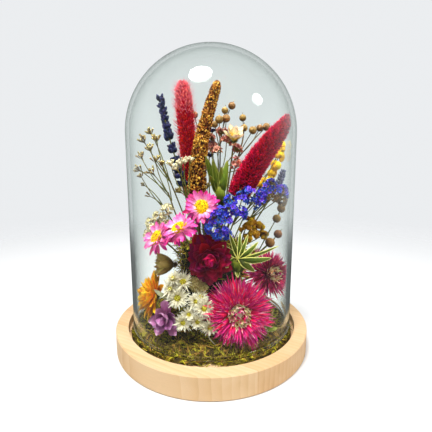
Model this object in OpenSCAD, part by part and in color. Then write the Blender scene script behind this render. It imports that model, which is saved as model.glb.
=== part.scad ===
// Bell jar with dried flowers on a round wooden base.
// The origin is the centre of the underside of the base, +Z is up and the front faces -Y.

/* [Glass dome] */
// Outer diameter of the glass
dome_od = 140; // [110:1:180]
// Height of the glass, from its rim to the top of its crown
dome_h = 232; // [190:1:300]
// Thickness of the glass wall
dome_wall = 3; // [2:0.1:4]
// Radius of the fire-polished bead around the rim of the glass
bead_r = 1.9; // [1.6:0.1:2.5]

/* [Wooden base] */
// Height of the base
base_h = 19; // [14:0.5:30]
// Width of the raised ring around the recess
ring_w = 10.5; // [8:0.5:20]
// Depth of the round recess that holds the moss and the glass
recess_depth = 7; // [4:0.5:10]
// Gap between the glass and the wall of the recess
dome_gap = 4.5; // [3:0.5:8]
// Width of one of the boards that are glued edge to edge
board_w = 50; // [40:1:60]
// How far the middle glue joint is in front of the centre
joint_offset = 2; // [0:0.5:10]
// Turn of the boards' grain about the vertical
board_turn = -30; // [-90:5:90]
// Bevel along the outer edges of the base
edge_bevel = 0.8; // [0.3:0.1:2]

/* [Planting] */
// Thickness of the moss bed that the glass stands on
moss_h = 8; // [5:0.5:12]
// Clearance between the moss and the wall of the recess
moss_gap = 0.5; // [0.3:0.1:1]
// How far the ragged outline of the moss draws in
moss_ragged = 1.8; // [0.5:0.1:2]
// Diameter of the dry foam, in a jar with the inside radius room_r
foam_d = 54; // [46:1:65]
// Height of the foam above the moss, in a jar with the inside height room_h
foam_rise = 68; // [60:1:76]
// Clearance between the foam and the moss
foam_gap = 0.2; // [0.1:0.1:1]
// Thickness of the glue under the foam
glue_t = 1; // [0.5:0.1:2]
// Radius of an ordinary stem
stem_r = 0.8; // [0.5:0.1:1]

/* [Hidden] */
$fn = 40;
dome_r = dome_od / 2;
dome_ir = dome_r - dome_wall;
recess_r = dome_r + dome_gap;
base_r = recess_r + ring_w;
floor_z = base_h - recess_depth;
moss_top = floor_z + moss_h;

// The flowers' places below suit a jar with this inside radius and height.
// The whole planting grows or shrinks with the smaller of the two.
room_r = 67;
room_h = 229;
fit = min(dome_ir / room_r, (dome_h - dome_wall) / room_h);
foam_r = fit * foam_d / 2;
foam_top = moss_top + fit * foam_rise;

// All stems point at one place inside the foam and end this far short of it.
hub = [0, 0, 24];
top_reach = 30;
low_reach = 12;
twig_step = 1.7;
petal_t = 1;
sink = 0.2;
ball_fn = 20;
stem_sides = 8;

// ---- helpers ----

function unit(v) = v / norm(v);

// Where the stem that leads to p starts, inside the foam
function foot(p, reach) = hub + reach * unit(p - hub);

// A point part of the way from a to b
function between(a, b, share) = a + share * (b - a);

// Puts its children at p, with their +Z along d
module aim(p, d) {
  translate(p)
    rotate([0, acos(unit(d).z), atan2(d.y, d.x)])
      children();
}

// A straight stem or twig from a to b
module rod(a, b, r) {
  aim(a, b - a)
    cylinder(h = norm(b - a), r = r, $fn = stem_sides);
}

// A ball at p on a twig that runs along d, with its poles to the sides
module ball(p, d, r) {
  aim(p, d)
    rotate([90, 0, 0])
      sphere(r = r, $fn = ball_fn);
}

// A flat ring of pointed petals
module petals(count, tip_r, root_r) {
  linear_extrude(height = petal_t)
    polygon([for (i = [0 : 2 * count - 1])
      let (a = i * 180 / count, r = i % 2 == 0 ? tip_r : root_r)
      [r * cos(a), r * sin(a)]]);
}

// The planting stands on the moss and grows with the jar
module planted(hue) {
  color(hue)
    translate([0, 0, moss_top])
      scale(fit)
        children();
}

// A flower head at p that faces d: a cup, petals in layers and a round eye
module bloom(p, d, r, count, layers, eye_r, eye_h, cup_h = 3) {
  step = petal_t - sink;
  top = layers * step;
  aim(p, d) {
    translate([0, 0, -cup_h])
      cylinder(h = cup_h + sink, r1 = 1.5 * stem_r, r2 = 0.45 * r);
    for (i = [0 : layers - 1])
      translate([0, 0, i * step])
        rotate([0, 0, i * 90 / count])
          petals(count, r * (1 - 0.16 * i), 0.62 * r * (1 - 0.16 * i));
    translate([0, 0, top])
      cylinder(h = eye_h, r1 = eye_r, r2 = 0.6 * eye_r);
  }
}

// A bloom with its stem
module flower(p, d, r, count, layers, eye_r, eye_h, reach, cup_h = 3) {
  back = p - (cup_h - 1) * unit(d);
  bloom(p, d, r, count, layers, eye_r, eye_h, cup_h);
  rod(foot(back, reach), back, stem_r);
}

// A spray: a stem to the place split, and near its top a twig to each ball
module spray(balls, split, r, reach, twig_r = 0.5) {
  rod(foot(split, reach), split, stem_r);
  for (i = [0 : len(balls) - 1]) {
    start = split - (1 + twig_step * i) * unit(split - hub);
    rod(start, balls[i], twig_r);
    ball(balls[i], balls[i] - start, r);
  }
}

// A spike that swells from its foot and narrows to its tip
module spike(a, b, r) {
  long = norm(b - a);
  steps = 10;
  aim(a, b - a)
    rotate_extrude($fn = 32)
      polygon(concat([[0, 0]],
        [for (i = [0 : steps])
          let (t = i / steps)
          [r * (0.35 + 0.65 * sin(180 * pow(t, 0.75))) * (t == 1 ? 0.4 : 1), long * t]],
        [[0, long]]));
}

// A round bud: a ball on a stem
module bud(p, r, reach) {
  rod(foot(p, reach), p, stem_r);
  ball(p, p - hub, r);
}

// A flat leaf from a to b, w wide, its face turned by roll
module leaf(a, b, w, roll, reach) {
  long = norm(b - a);
  rod(foot(a, reach), between(a, b, 0.15), 0.6 * stem_r);
  aim(a, b - a)
    rotate([90, 0, roll])
      translate([0, 0, -petal_t / 2])
        linear_extrude(height = petal_t)
          polygon([for (i = [0 : 23])
            let (a = i * 15)
            [w / 2 * sin(a) * abs(sin(a / 2)), long / 2 * (1 - cos(a))]]);
}

// ---- glass dome ----

module glass_dome() {
  straight_h = dome_h - dome_r;
  color([0.82, 0.88, 0.86, 0.35])
    translate([0, 0, moss_top])
      difference() {
        union() {
          cylinder(h = straight_h, r = dome_r, $fn = 128);
          translate([0, 0, straight_h])
            sphere(r = dome_r, $fn = 128);
          translate([0, 0, bead_r * 0.8])
            rotate_extrude($fn = 128)
              translate([dome_r - dome_wall / 2, 0])
                circle(r = bead_r, $fn = 32);
        }
        translate([0, 0, -2 * bead_r])
          cylinder(h = 2 * bead_r, r = dome_r + 2 * bead_r, $fn = 128);
        translate([0, 0, -1])
          cylinder(h = straight_h + 1, r = dome_ir, $fn = 128);
        translate([0, 0, straight_h])
          sphere(r = dome_ir, $fn = 128);
      }
}

// ---- wooden base ----

// The turned base as if it were one piece of wood
module base_blank() {
  rotate_extrude($fn = 128)
    polygon([
      [0, 0],
      [base_r - edge_bevel, 0],
      [base_r, edge_bevel],
      [base_r, base_h - edge_bevel],
      [base_r - edge_bevel, base_h],
      [recess_r, base_h],
      [recess_r, floor_z],
      [0, floor_z]
    ]);
}

// The stretch of the base from near to far, across the grain
module board(near, far) {
  color([0.93, 0.80, 0.60])
    intersection() {
      base_blank();
      rotate([0, 0, board_turn])
        translate([-base_r - 1, near, -1])
          cube([2 * base_r + 2, far - near, base_h + 2]);
    }
}

module base_board_front() board(-base_r - 1, -joint_offset - board_w);
module base_board_mid_front() board(-joint_offset - board_w, -joint_offset);
module base_board_mid_back() board(-joint_offset, -joint_offset + board_w);
module base_board_back() board(-joint_offset + board_w, base_r + 1);

// ---- bed ----

module glue_pad() {
  color([0.9, 0.88, 0.8])
    translate([0, 0, floor_z])
      cylinder(h = glue_t, r = 0.8 * foam_r);
}

module foam_block() {
  color([0.13, 0.12, 0.09])
    translate([0, 0, floor_z + glue_t])
      cylinder(h = foam_top - floor_z - glue_t, r = foam_r, $fn = 64);
}

module moss_bed() {
  outer = recess_r - moss_gap;
  color([0.36, 0.38, 0.10])
    difference() {
      translate([0, 0, floor_z])
        linear_extrude(height = moss_h)
          polygon([for (i = [0 : 71])
            let (a = 5 * i, r = outer - moss_ragged * (0.5 + 0.5 * sin(7 * a) * cos(5 * a)))
            [r * cos(a), r * sin(a)]]);
      translate([0, 0, floor_z - 1])
        cylinder(h = moss_h + 2, r = foam_r + foam_gap, $fn = 64);
    }
}

// ---- tall spikes ----

module pink_plume() {
  base = [-20, 8, 106];
  planted([0.78, 0.10, 0.22]) {
    rod(foot(base, top_reach), base, stem_r);
    spike(base, [-28, 8, 211], 8);
  }
}

module crimson_plume() {
  base = [16, -11, 108];
  planted([0.72, 0.04, 0.18]) {
    rod(foot(base, top_reach), base, stem_r);
    spike(base, [59, -15, 174], 10.5);
  }
}

module golden_millet() {
  base = [-9, -8, 102];
  bend = [-9, -6, 160];
  planted([0.62, 0.38, 0.12]) {
    rod(foot(base, top_reach), base, stem_r);
    spike(base, [-9, -6, 176], 7);
    spike(between(base, bend, 0.6), [5, -4, 204], 6);
  }
}

// A spike of small whorls, spaced along the upper part of its stem
module lavender(tip, low, count, r) {
  planted([0.20, 0.20, 0.38]) {
    rod(foot(low, top_reach), low, 0.7 * stem_r);
    rod(low, tip, 0.7 * stem_r);
    for (i = [0 : count - 1])
      ball(between(low, tip, i / (count - 1)), tip - low, r * (1 - 0.3 * i / (count - 1)));
  }
}

module lavender_left() lavender([-42, -6, 193], [-28, -5, 143], 7, 3.4);
module lavender_middle() lavender([-2, 18, 165], [-3, 16, 146], 4, 2.6);
module lavender_right() lavender([61, -1, 131], [54, -1, 118], 3, 2.6);

// ---- sprays ----

module flax_tall() {
  planted([0.72, 0.57, 0.35])
    spray([[19, 15, 189], [11, 15, 184], [13, 13, 176], [6, 13, 178], [2, 14, 171]], [8, 15, 160], 3.6, top_reach);
}

module flax_right() {
  planted([0.72, 0.57, 0.35])
    spray([[27, 17, 179], [29, 14, 171], [37, 15, 169], [44, 15, 172], [51, 15, 175]], [26, 14, 152], 3.6, top_reach);
}

module flax_left() {
  planted([0.72, 0.57, 0.35])
    spray([[-15, 22, 182]], [-12, 19, 160], 3.6, top_reach);
}

module flax_low() {
  planted([0.45, 0.30, 0.12])
    spray([[56, -10, 80], [50, -12, 73], [54, -8, 93], [58, -3, 100]], [42, -14, 66], 3.6, low_reach);
}

module statice_peach() {
  planted([0.85, 0.55, 0.48])
    spray([[9, 6, 164], [0, 6, 153], [8, 1, 154], [17, -5, 140], [15, 1, 150]], [6, 1, 136], 4, top_reach);
}

module statice_blue_left() {
  planted([0.20, 0.20, 0.75])
    spray([[4, -31, 90], [10, -29, 104], [11, -33, 95], [12, -35, 86]], [8, -25, 90], 4, top_reach);
}

module statice_blue_middle() {
  planted([0.20, 0.20, 0.75])
    spray([[17, -27, 107], [23, -25, 110], [29, -24, 113], [35, -22, 114], [31, -27, 102]], [21, -20, 100], 3.4, top_reach);
}

module statice_blue_right() {
  planted([0.22, 0.22, 0.72])
    spray([[43, -20, 118], [49, -17, 121], [57, -14, 113], [50, -15, 107]], [34, -12, 98], 3.6, top_reach);
}

module tansy_upper() {
  planted([0.92, 0.74, 0.08])
    spray([[60, 12, 155], [57, 14, 147], [52, 14, 136], [49, 12, 126], [44, 10, 118]], [38, 9, 110], 4.2, top_reach);
}

module tansy_lower() {
  planted([0.80, 0.58, 0.08])
    spray([[37, -9, 92], [43, -10, 85], [38, -13, 80], [31, -15, 74], [44, -5, 74]], [27, -7, 74], 3.8, top_reach);
}

module cream_filler() {
  planted([0.85, 0.80, 0.62])
    spray([[-51, -14, 80], [-44, -12, 95], [-36, -12, 101], [-50, -12, 89], [-40, -10, 90]], [-31, -8, 78], 4, top_reach);
}

module limonium_upper() {
  planted([0.80, 0.74, 0.58])
    spray([[-50, -3, 164], [-55, -9, 157], [-50, -9, 150]], [-36, -5, 128], 4, top_reach);
}

module limonium_middle() {
  planted([0.80, 0.74, 0.58])
    spray([[-57, -13, 134], [-45, -14, 141], [-47, -13, 132], [-57, -11, 144]], [-36, -11, 116], 3.6, top_reach);
}

module limonium_inner() {
  planted([0.84, 0.80, 0.66])
    spray([[-32, -17, 138], [-21, -20, 139], [-27, -18, 134]], [-19, -14, 112], 4, top_reach);
}

module limonium_low() {
  planted([0.55, 0.45, 0.25])
    spray([[-57, -4, 121], [-53, -4, 112]], [-42, -3, 104], 2.4, top_reach);
}

// ---- strawflowers ----

module strawflower_cream() {
  planted([0.90, 0.80, 0.45])
    flower([20, 6, 162], [0, -0.4, 1], 7, 10, 3, 3.5, 3, top_reach);
}

module strawflower_burgundy() {
  planted([0.43, 0.03, 0.17])
    flower([-3, -34, 66], [0.15, -1, 0.1], 14, 14, 4, 5, 3, low_reach);
}

module strawflower_orange() {
  planted([1.0, 0.60, 0.05])
    flower([-49, -15, 29], [-0.95, -0.2, 0.23], 19, 20, 4, 7, 3, low_reach);
}

module strawflower_purple() {
  planted([0.58, 0.28, 0.52])
    flower([-35, -39, 18], [-0.45, -0.85, 0.1], 10, 9, 3, 4, 3, low_reach);
}

module strawflower_magenta_large() {
  planted([0.85, 0.10, 0.45])
    flower([20, -42, 26], [0.15, -1, 0.25], 23, 26, 5, 8, 3, low_reach, 6);
}

module strawflower_magenta_right() {
  planted([0.80, 0.10, 0.45])
    flower([47, -22, 50], [0.75, -0.6, 0.2], 16, 22, 4, 5, 3, low_reach, 5);
}

// ---- nigella ----

module nigella_tall() {
  pod = [5, -16, 124];
  planted([0.45, 0.50, 0.16]) {
    rod(foot(pod, top_reach), pod, 1.4 * stem_r);
    aim(pod, [0.05, 0, 1]) {
      cylinder(h = 10, r1 = 3, r2 = 6);
      translate([0, 0, 10 - sink])
        petals(5, 9, 3.5);
    }
  }
}

module nigella_star() {
  planted([0.45, 0.50, 0.16])
    flower([22, -41, 70], [0.1, -0.8, 0.6], 11, 8, 2, 2.5, 2, top_reach, 7);
}

// ---- acroclinium and daisies ----

module acroclinium(p, d) {
  planted([0.96, 0.50, 0.75])
    flower(p, d, 12, 15, 2, 6, 2, top_reach);
}

module acroclinium_top() acroclinium([-7, -28, 106], [0.05, -0.95, 0.3]);
module acroclinium_middle() acroclinium([-23, -39, 93], [-0.15, -0.5, 0.85]);
module acroclinium_left() acroclinium([-42, -30, 83], [-0.65, -0.6, 0.45]);

module daisy(p, d, r) {
  planted([0.94, 0.92, 0.84])
    flower(p, d, r, 16, 2, 0.4 * r, 1.2, low_reach, 2);
}

module daisy_1() daisy([-26, -46, 39], [-0.1, -1, 0.35], 7.5);
module daisy_2() daisy([-6, -51, 33], [0.1, -1, 0.2], 6);
module daisy_3() daisy([-21, -52, 21], [-0.2, -1, 0.1], 6);
module daisy_4() daisy([-14, -45, 40], [0, -1, 0.5], 5);
module daisy_5() daisy([-13, -50, 26], [0, -1, 0.1], 4);
module daisy_6() daisy([-7, -53, 18], [0.1, -1, -0.1], 5.5);
module daisy_7() daisy([-25, -38, 50], [-0.3, -0.8, 0.6], 6);

// ---- buds and leaves ----

module cream_bud() {
  planted([0.82, 0.76, 0.55])
    bud([-11, -40, 48], 4.2, low_reach);
}

module olive_bud() {
  planted([0.42, 0.32, 0.12])
    bud([-39, -21, 58], 6.5, low_reach);
}

module leaf_right() {
  planted([0.50, 0.60, 0.22])
    leaf([40, -38, 10], [53, -33, 14], 8, 60, low_reach);
}

module leaf_silver() {
  planted([0.72, 0.76, 0.62])
    leaf([-35, -41, 36], [-44, -44, 44], 4, 40, low_reach);
}

module leaf_white() {
  planted([0.82, 0.78, 0.66])
    leaf([-3, -50, 11], [1, -56, 4], 4, 20, low_reach);
}

// ---- the back of the planting ----

module back_strawflower_pink() {
  planted([0.90, 0.55, 0.65])
    flower([-16, 42, 34], [-0.3, 1, 0.25], 16, 18, 4, 6, 3, low_reach, 5);
}

module back_strawflower_yellow() {
  planted([0.92, 0.72, 0.20])
    flower([22, 41, 28], [0.45, 0.9, 0.2], 15, 18, 4, 6, 3, low_reach, 5);
}

module back_statice() {
  planted([0.50, 0.38, 0.70])
    spray([[-12, 34, 76], [-4, 38, 72], [4, 36, 78], [12, 34, 72], [0, 34, 84]], [0, 27, 70], 4.2, top_reach);
}

module back_limonium() {
  planted([0.80, 0.74, 0.58])
    spray([[-30, 30, 112], [-18, 36, 124], [-4, 34, 116], [12, 36, 122], [26, 30, 108]], [-2, 20, 88], 3.8, top_reach);
}

module back_daisy() {
  planted([0.94, 0.92, 0.84])
    flower([42, 30, 52], [0.7, 0.65, 0.3], 8, 16, 2, 3.2, 1.2, low_reach, 2);
}

// ---- output ----

glass_dome();
base_board_front();
base_board_mid_front();
base_board_mid_back();
base_board_back();
glue_pad();
foam_block();
moss_bed();
pink_plume();
crimson_plume();
golden_millet();
lavender_left();
lavender_middle();
lavender_right();
flax_tall();
flax_right();
flax_left();
flax_low();
statice_peach();
statice_blue_left();
statice_blue_middle();
statice_blue_right();
tansy_upper();
tansy_lower();
strawflower_cream();
strawflower_burgundy();
strawflower_orange();
strawflower_purple();
strawflower_magenta_large();
strawflower_magenta_right();
nigella_tall();
nigella_star();
acroclinium_top();
acroclinium_middle();
acroclinium_left();
daisy_1();
daisy_2();
daisy_3();
daisy_4();
daisy_5();
daisy_6();
daisy_7();
cream_bud();
olive_bud();
cream_filler();
limonium_upper();
limonium_middle();
limonium_inner();
limonium_low();
leaf_right();
leaf_silver();
leaf_white();
back_strawflower_pink();
back_strawflower_yellow();
back_statice();
back_limonium();
back_daisy();
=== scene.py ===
import math

import bmesh
import bpy
import numpy as np
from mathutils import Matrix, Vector, noise


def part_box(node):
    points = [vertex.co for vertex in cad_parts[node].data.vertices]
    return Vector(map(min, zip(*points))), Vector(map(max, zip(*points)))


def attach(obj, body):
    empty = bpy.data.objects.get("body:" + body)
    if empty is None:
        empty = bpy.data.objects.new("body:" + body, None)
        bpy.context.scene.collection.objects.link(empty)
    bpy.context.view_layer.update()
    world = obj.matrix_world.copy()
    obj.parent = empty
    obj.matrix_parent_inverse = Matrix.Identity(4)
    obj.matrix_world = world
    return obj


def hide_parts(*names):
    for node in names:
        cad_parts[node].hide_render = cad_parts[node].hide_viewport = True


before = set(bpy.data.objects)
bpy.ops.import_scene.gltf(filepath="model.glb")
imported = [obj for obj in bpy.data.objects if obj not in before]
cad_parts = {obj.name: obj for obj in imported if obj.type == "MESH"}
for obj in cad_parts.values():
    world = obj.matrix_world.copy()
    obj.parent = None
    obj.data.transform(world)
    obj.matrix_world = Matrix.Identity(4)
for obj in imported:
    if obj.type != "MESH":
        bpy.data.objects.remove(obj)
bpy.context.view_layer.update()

# Lengths in this script are millimetres, and become metres when a mesh is made.
MM = 0.001
TAU = 2 * math.pi
RNG = np.random.default_rng(7)

# ---- places taken from the frame ----

moss_low, moss_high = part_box("moss_bed")
MOSS_TOP = moss_high.z / MM
FLOOR_Z = moss_low.z / MM
MOSS_R = moss_high.x / MM
_, foam_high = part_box("foam_block")
FOAM_R = foam_high.x / MM
FOAM_TOP = foam_high.z / MM - MOSS_TOP
glass_low, glass_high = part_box("glass_dome")
CROWN_Z = glass_high.z / MM
RIM_Z = glass_low.z / MM
DOME_WALL = 3.0
BEAD_R = 1.9
BEAD_H = 3.6
# The bead at the rim stands this much proud of the glass.
DOME_R = glass_high.x / MM - (BEAD_R - DOME_WALL / 2)
SHOULDER_Z = CROWN_Z - DOME_R
# Nothing of the bouquet comes nearer to the glass than this.
GLASS_GAP = 0.9

# ---- mesh making ----


def unit(v):
    """The vectors v at length 1."""
    v = np.asarray(v, float)
    return v / np.maximum(np.linalg.norm(v, axis=-1, keepdims=True), 1e-12)


def frames(z, roll):
    """Rotation matrices for directions z (n, 3) and turns roll (n,). Their rows are the x, y and z axes."""
    z = unit(z)
    helper = np.where(np.abs(z[:, 2:3]) < 0.9, [[0.0, 0.0, 1.0]], [[1.0, 0.0, 0.0]])
    x = unit(np.cross(helper, z))
    y = np.cross(z, x)
    c, s = np.cos(roll)[:, None], np.sin(roll)[:, None]
    return np.stack([c * x + s * y, c * y - s * x, z], axis=1)


def keep_inside(points):
    """Bends whatever comes too near to the glass back inside it."""
    room = DOME_R - DOME_WALL - GLASS_GAP
    centre = np.array([0, 0, SHOULDER_Z])
    away = points - np.where(points[:, 2:3] > centre[2], centre, points * [0, 0, 1])
    far = np.linalg.norm(away, axis=1)
    back = np.where(far > room, (room + 0.12 * np.tanh(far - room)) / np.maximum(far, 1e-9), 1.0)
    return points - away * (1 - back[:, None])


def grid_faces(rows, columns):
    """Faces between rows of points that lie side by side."""
    return [
        (i * columns + j, (i + 1) * columns + j, (i + 1) * columns + j + 1, i * columns + j + 1)
        for i in range(rows - 1) for j in range(columns - 1)
    ]


def ring_faces(rings, sides):
    """Faces between closed rings of points that lie one above the other."""
    return [
        (i * sides + j, i * sides + (j + 1) % sides, (i + 1) * sides + (j + 1) % sides, (i + 1) * sides + j)
        for i in range(rings - 1) for j in range(sides)
    ]


def marks_of(count, along, across, chance, depth=0.0):
    """What a material reads at each of count points. Each mark is a number or one number per point."""
    return np.stack([np.broadcast_to(mark, (count,)) for mark in (along, across, chance, depth)], axis=1)


def slim(thick, length):
    """Sizes of parts with the same thickness both ways."""
    return np.stack(np.broadcast_arrays(thick, thick, length), axis=1)


def add_object(name, data):
    made = bpy.data.objects.new(name, data)
    bpy.context.scene.collection.objects.link(made)
    return made


class Shape:
    """A small mesh to copy: points, faces, and how far along and across it each point is, from 0 to 1."""

    def __init__(self, points, faces, along, across=None):
        self.points = np.asarray(points, float)
        self.faces = np.asarray(faces, int)
        self.along = np.asarray(along, float)
        self.across = np.full(len(self.points), 0.5) if across is None else np.asarray(across, float)


class Piece:
    """Gathers geometry for one Blender object, with the marks of each point for its material."""

    def __init__(self):
        self.points, self.marks, self.faces, self.slots, self.count = [], [], [], [], 0

    def add(self, points, faces, marks, slot=0):
        self.points.append(points)
        self.marks.append(marks)
        faces = np.asarray(faces) + self.count
        self.faces.extend(faces.tolist())
        self.slots.extend([slot] * len(faces))
        self.count += len(points)

    def scatter(self, shape, at, toward, size, slot=0, depth=0.0, roll=None, shade=None):
        """Copies of shape at points `at`, +Z toward `toward`, scaled by size (n, 3) or one number each."""
        at = np.atleast_2d(np.asarray(at, float))
        n = len(at)
        toward = np.broadcast_to(np.asarray(toward, float), (n, 3))
        size = np.asarray(size, float)
        if size.ndim < 2:
            size = np.repeat(np.broadcast_to(size, (n,))[:, None], 3, axis=1)
        roll = RNG.uniform(0, TAU, n) if roll is None else np.broadcast_to(roll, (n,))
        turned = np.einsum("nvi,nij->nvj", shape.points[None] * size[:, None], frames(toward, roll))
        points = (turned + at[:, None]).reshape(-1, 3)
        k = len(shape.points)
        shade = RNG.uniform(0, 1, n) if shade is None else np.broadcast_to(shade, (n,))
        depth = np.repeat(np.broadcast_to(depth, (n,)), k)
        marks = marks_of(n * k, np.tile(shape.along, n), np.tile(shape.across, n), np.repeat(shade, k), depth)
        faces = (shape.faces[None] + (np.arange(n) * k)[:, None, None]).reshape(-1, shape.faces.shape[1])
        self.add(points, faces, marks, slot)

    def tube(self, path, radii, slot=0, sides=7, shade=0.5):
        """A round stem along path, with a radius at each of its points."""
        path = np.asarray(path, float)
        radii = np.broadcast_to(radii, (len(path),))
        way = unit(np.gradient(path, axis=0))
        basis = frames(way, np.zeros(len(path)))
        turn = np.arange(sides) * TAU / sides
        ring = np.stack([np.cos(turn), np.sin(turn), np.zeros(sides)], axis=1)
        points = np.einsum("si,nij->nsj", ring, basis) * radii[:, None, None] + path[:, None]
        along = np.repeat(np.linspace(0, 1, len(path)), sides)
        across = np.tile(np.arange(sides) / sides, len(path))
        marks = marks_of(len(along), along, across, shade)
        self.add(points.reshape(-1, 3), ring_faces(len(path), sides), marks, slot)

    def build(self, name, materials, slot, node, body="base"):
        """Makes the Blender object, in metres, riding on a body and standing for a CAD node.
        What rides on the base is drawn from the top of the moss up, and the glass from the table up."""
        points = np.concatenate(self.points)
        if body == "base":
            points = points + [0, 0, MOSS_TOP]
            if slot not in ("moss", "foam"):
                points = keep_inside(points)
        mesh = bpy.data.meshes.new(name)
        mesh.from_pydata((points * MM).tolist(), [], self.faces)
        mesh.polygons.foreach_set("material_index", self.slots)
        mesh.polygons.foreach_set("use_smooth", [True] * len(self.faces))
        marks = mesh.attributes.new("marks", "FLOAT_COLOR", "POINT")
        marks.data.foreach_set("color", np.concatenate(self.marks).ravel())
        for material in materials:
            mesh.materials.append(material)
        mesh.update()
        made = add_object(name, mesh)
        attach(made, body)
        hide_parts(node)
        return made


# ---- small shapes ----


def ball_shape(level):
    """An icosphere of radius 1."""
    made = bmesh.new()
    bmesh.ops.create_icosphere(made, subdivisions=level, radius=1)
    points = [tuple(v.co) for v in made.verts]
    faces = [[v.index for v in f.verts] for f in made.faces]
    made.free()
    return Shape(points, faces, [(p[2] + 1) / 2 for p in points])


def lathe_shape(profile, sides, ridge=0.0, ridges=5):
    """A turned shape from (radius, height) points, with soft ridges along it."""
    profile = np.asarray(profile, float)
    turn = np.arange(sides) * TAU / sides
    swell = 1 + ridge * np.abs(np.cos(turn * ridges / 2))
    points, along, across = [], [], []
    for i, (r, z) in enumerate(profile):
        for t, s in zip(turn, swell):
            points.append((r * s * math.cos(t), r * s * math.sin(t), z))
            along.append(i / (len(profile) - 1))
            across.append(abs(math.cos(t * ridges / 2)))
    return Shape(points, ring_faces(len(profile), sides), along, across)


def spike_shape(bend=0.15, belly=1.0):
    """A thin three-sided hair, 1 long, radius 1 at its foot, bent toward +X."""
    rings = [(0.0, 0.6), (0.35, belly), (0.75, 0.6 * belly), (1.0, 0.05)]
    points, along = [], []
    for z, r in rings:
        for k in range(3):
            turn = k * TAU / 3
            points.append((r * math.cos(turn) + bend * z * z * 8, r * math.sin(turn), z))
            along.append(z)
    return Shape(points, ring_faces(len(rings), 3), along)


def petal_outline(t, foot, peak, blunt):
    """Half width of a petal, from 0 to 1, at t along it: `foot` at its base and full at `peak`."""
    rise = foot + (1 - foot) * np.sin(np.minimum(t / peak, 1) * math.pi / 2)
    fall = np.sqrt(np.clip(1 - np.maximum(0, (t - peak) / (1 - peak)) ** blunt, 0, 1))
    return np.maximum(rise * fall, 0.03)


def petal_shape(length, width, lean, curl, cup=0.3, foot=0.35, peak=0.6, blunt=2.0, rows=6, columns=3):
    """A petal that leaves its foot outward along +X, leaning up by `lean` degrees and then by `curl` more."""
    t = np.linspace(0, 1, rows)
    angle = np.radians(lean + curl * t)
    step = length / (rows - 1)
    x = np.concatenate([[0], np.cumsum(step * (np.cos(angle[1:]) + np.cos(angle[:-1])) / 2)])
    z = np.concatenate([[0], np.cumsum(step * (np.sin(angle[1:]) + np.sin(angle[:-1])) / 2)])
    half = width / 2 * petal_outline(t, foot, peak, blunt)
    s = np.linspace(-1, 1, columns)
    rise = cup * half[:, None] * s[None] ** 2
    px = x[:, None] - np.sin(angle)[:, None] * rise
    py = half[:, None] * s[None]
    pz = z[:, None] + np.cos(angle)[:, None] * rise
    points = np.stack([px, np.broadcast_to(py, px.shape), pz], axis=-1).reshape(-1, 3)
    return Shape(points, grid_faces(rows, columns), np.repeat(t, columns), np.tile((s + 1) / 2, rows))


def blade_shape(width, bend, rows=5, foot=0.5, peak=0.4, blunt=1.2):
    """A flat leaf or strand along +Z, 1 long, bent toward +X by `bend`."""
    t = np.linspace(0, 1, rows)
    half = width / 2 * petal_outline(t, foot, peak, blunt)
    height = t * (1 - 0.15 * abs(bend) * t)
    points = np.stack([np.stack([bend * t * t, half * side, height], axis=1) for side in (-1, 0, 1)], axis=1)
    points[:, 1, 0] -= 0.25 * half
    return Shape(points.reshape(-1, 3), grid_faces(rows, 3), np.repeat(t, 3), np.tile([0, 0.5, 1], rows))


BLOB = ball_shape(1)
ROUND = ball_shape(2)
HAIR = spike_shape()
SCALE = spike_shape(0.12, 1.5)
CALYX = lathe_shape([(0.15, 0), (0.6, 0.25), (1.0, 0.7), (1.25, 1.0), (0.55, 0.92)], 7)
TEAR = lathe_shape([(0.05, 0), (0.75, 0.2), (1.0, 0.45), (0.7, 0.8), (0.05, 1.0)], 6)
POD = lathe_shape(
    [(0.05, -1.0), (0.55, -0.86), (0.88, -0.5), (1.0, 0.0), (0.9, 0.48), (0.6, 0.82), (0.16, 0.99),
     (0.02, 1.28)],
    20, ridge=0.09, ridges=5,
)
STRAND = blade_shape(0.12, 0.6, rows=4)


def frond_shape(pairs):
    """A frond of moss, 1 long: a bent stem with a small leaf to each side at every step."""
    points, faces, along = [], [], []
    for i in range(pairs):
        t = (i + 0.5) / pairs
        foot = np.array([0.35 * t * t, 0.0, t])
        long = 0.24 * (1.15 - t)
        for side in (-1, 1):
            tip = foot + np.array([0.3 * long, side * long, 0.75 * long])
            half = np.array([0.0, -side * 0.3 * long, 0.22 * long])
            k = len(points)
            points += [foot, (foot + tip) / 2 + half * 0.6, tip, (foot + tip) / 2 - half * 0.6]
            faces.append((k, k + 1, k + 2, k + 3))
            along += [t, t, 1.0, t]
    for i in range(pairs):
        a, b = i / pairs, (i + 1) / pairs
        k = len(points)
        points += [np.array([0.35 * c * c, w, c]) for c, w in ((a, -0.02), (a, 0.02), (b, 0.015),
                                                               (b, -0.015))]
        faces.append((k, k + 1, k + 2, k + 3))
        along += [a, a, b, b]
    return Shape(points, faces, along)


FROND = frond_shape(6)

# ---- materials ----


def fill(node, **values):
    """Sets constants on a node's sockets, each by the socket's name with _ for a space."""
    for key, value in values.items():
        node.inputs[key.replace("_", " ")].default_value = value
    return node


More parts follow.
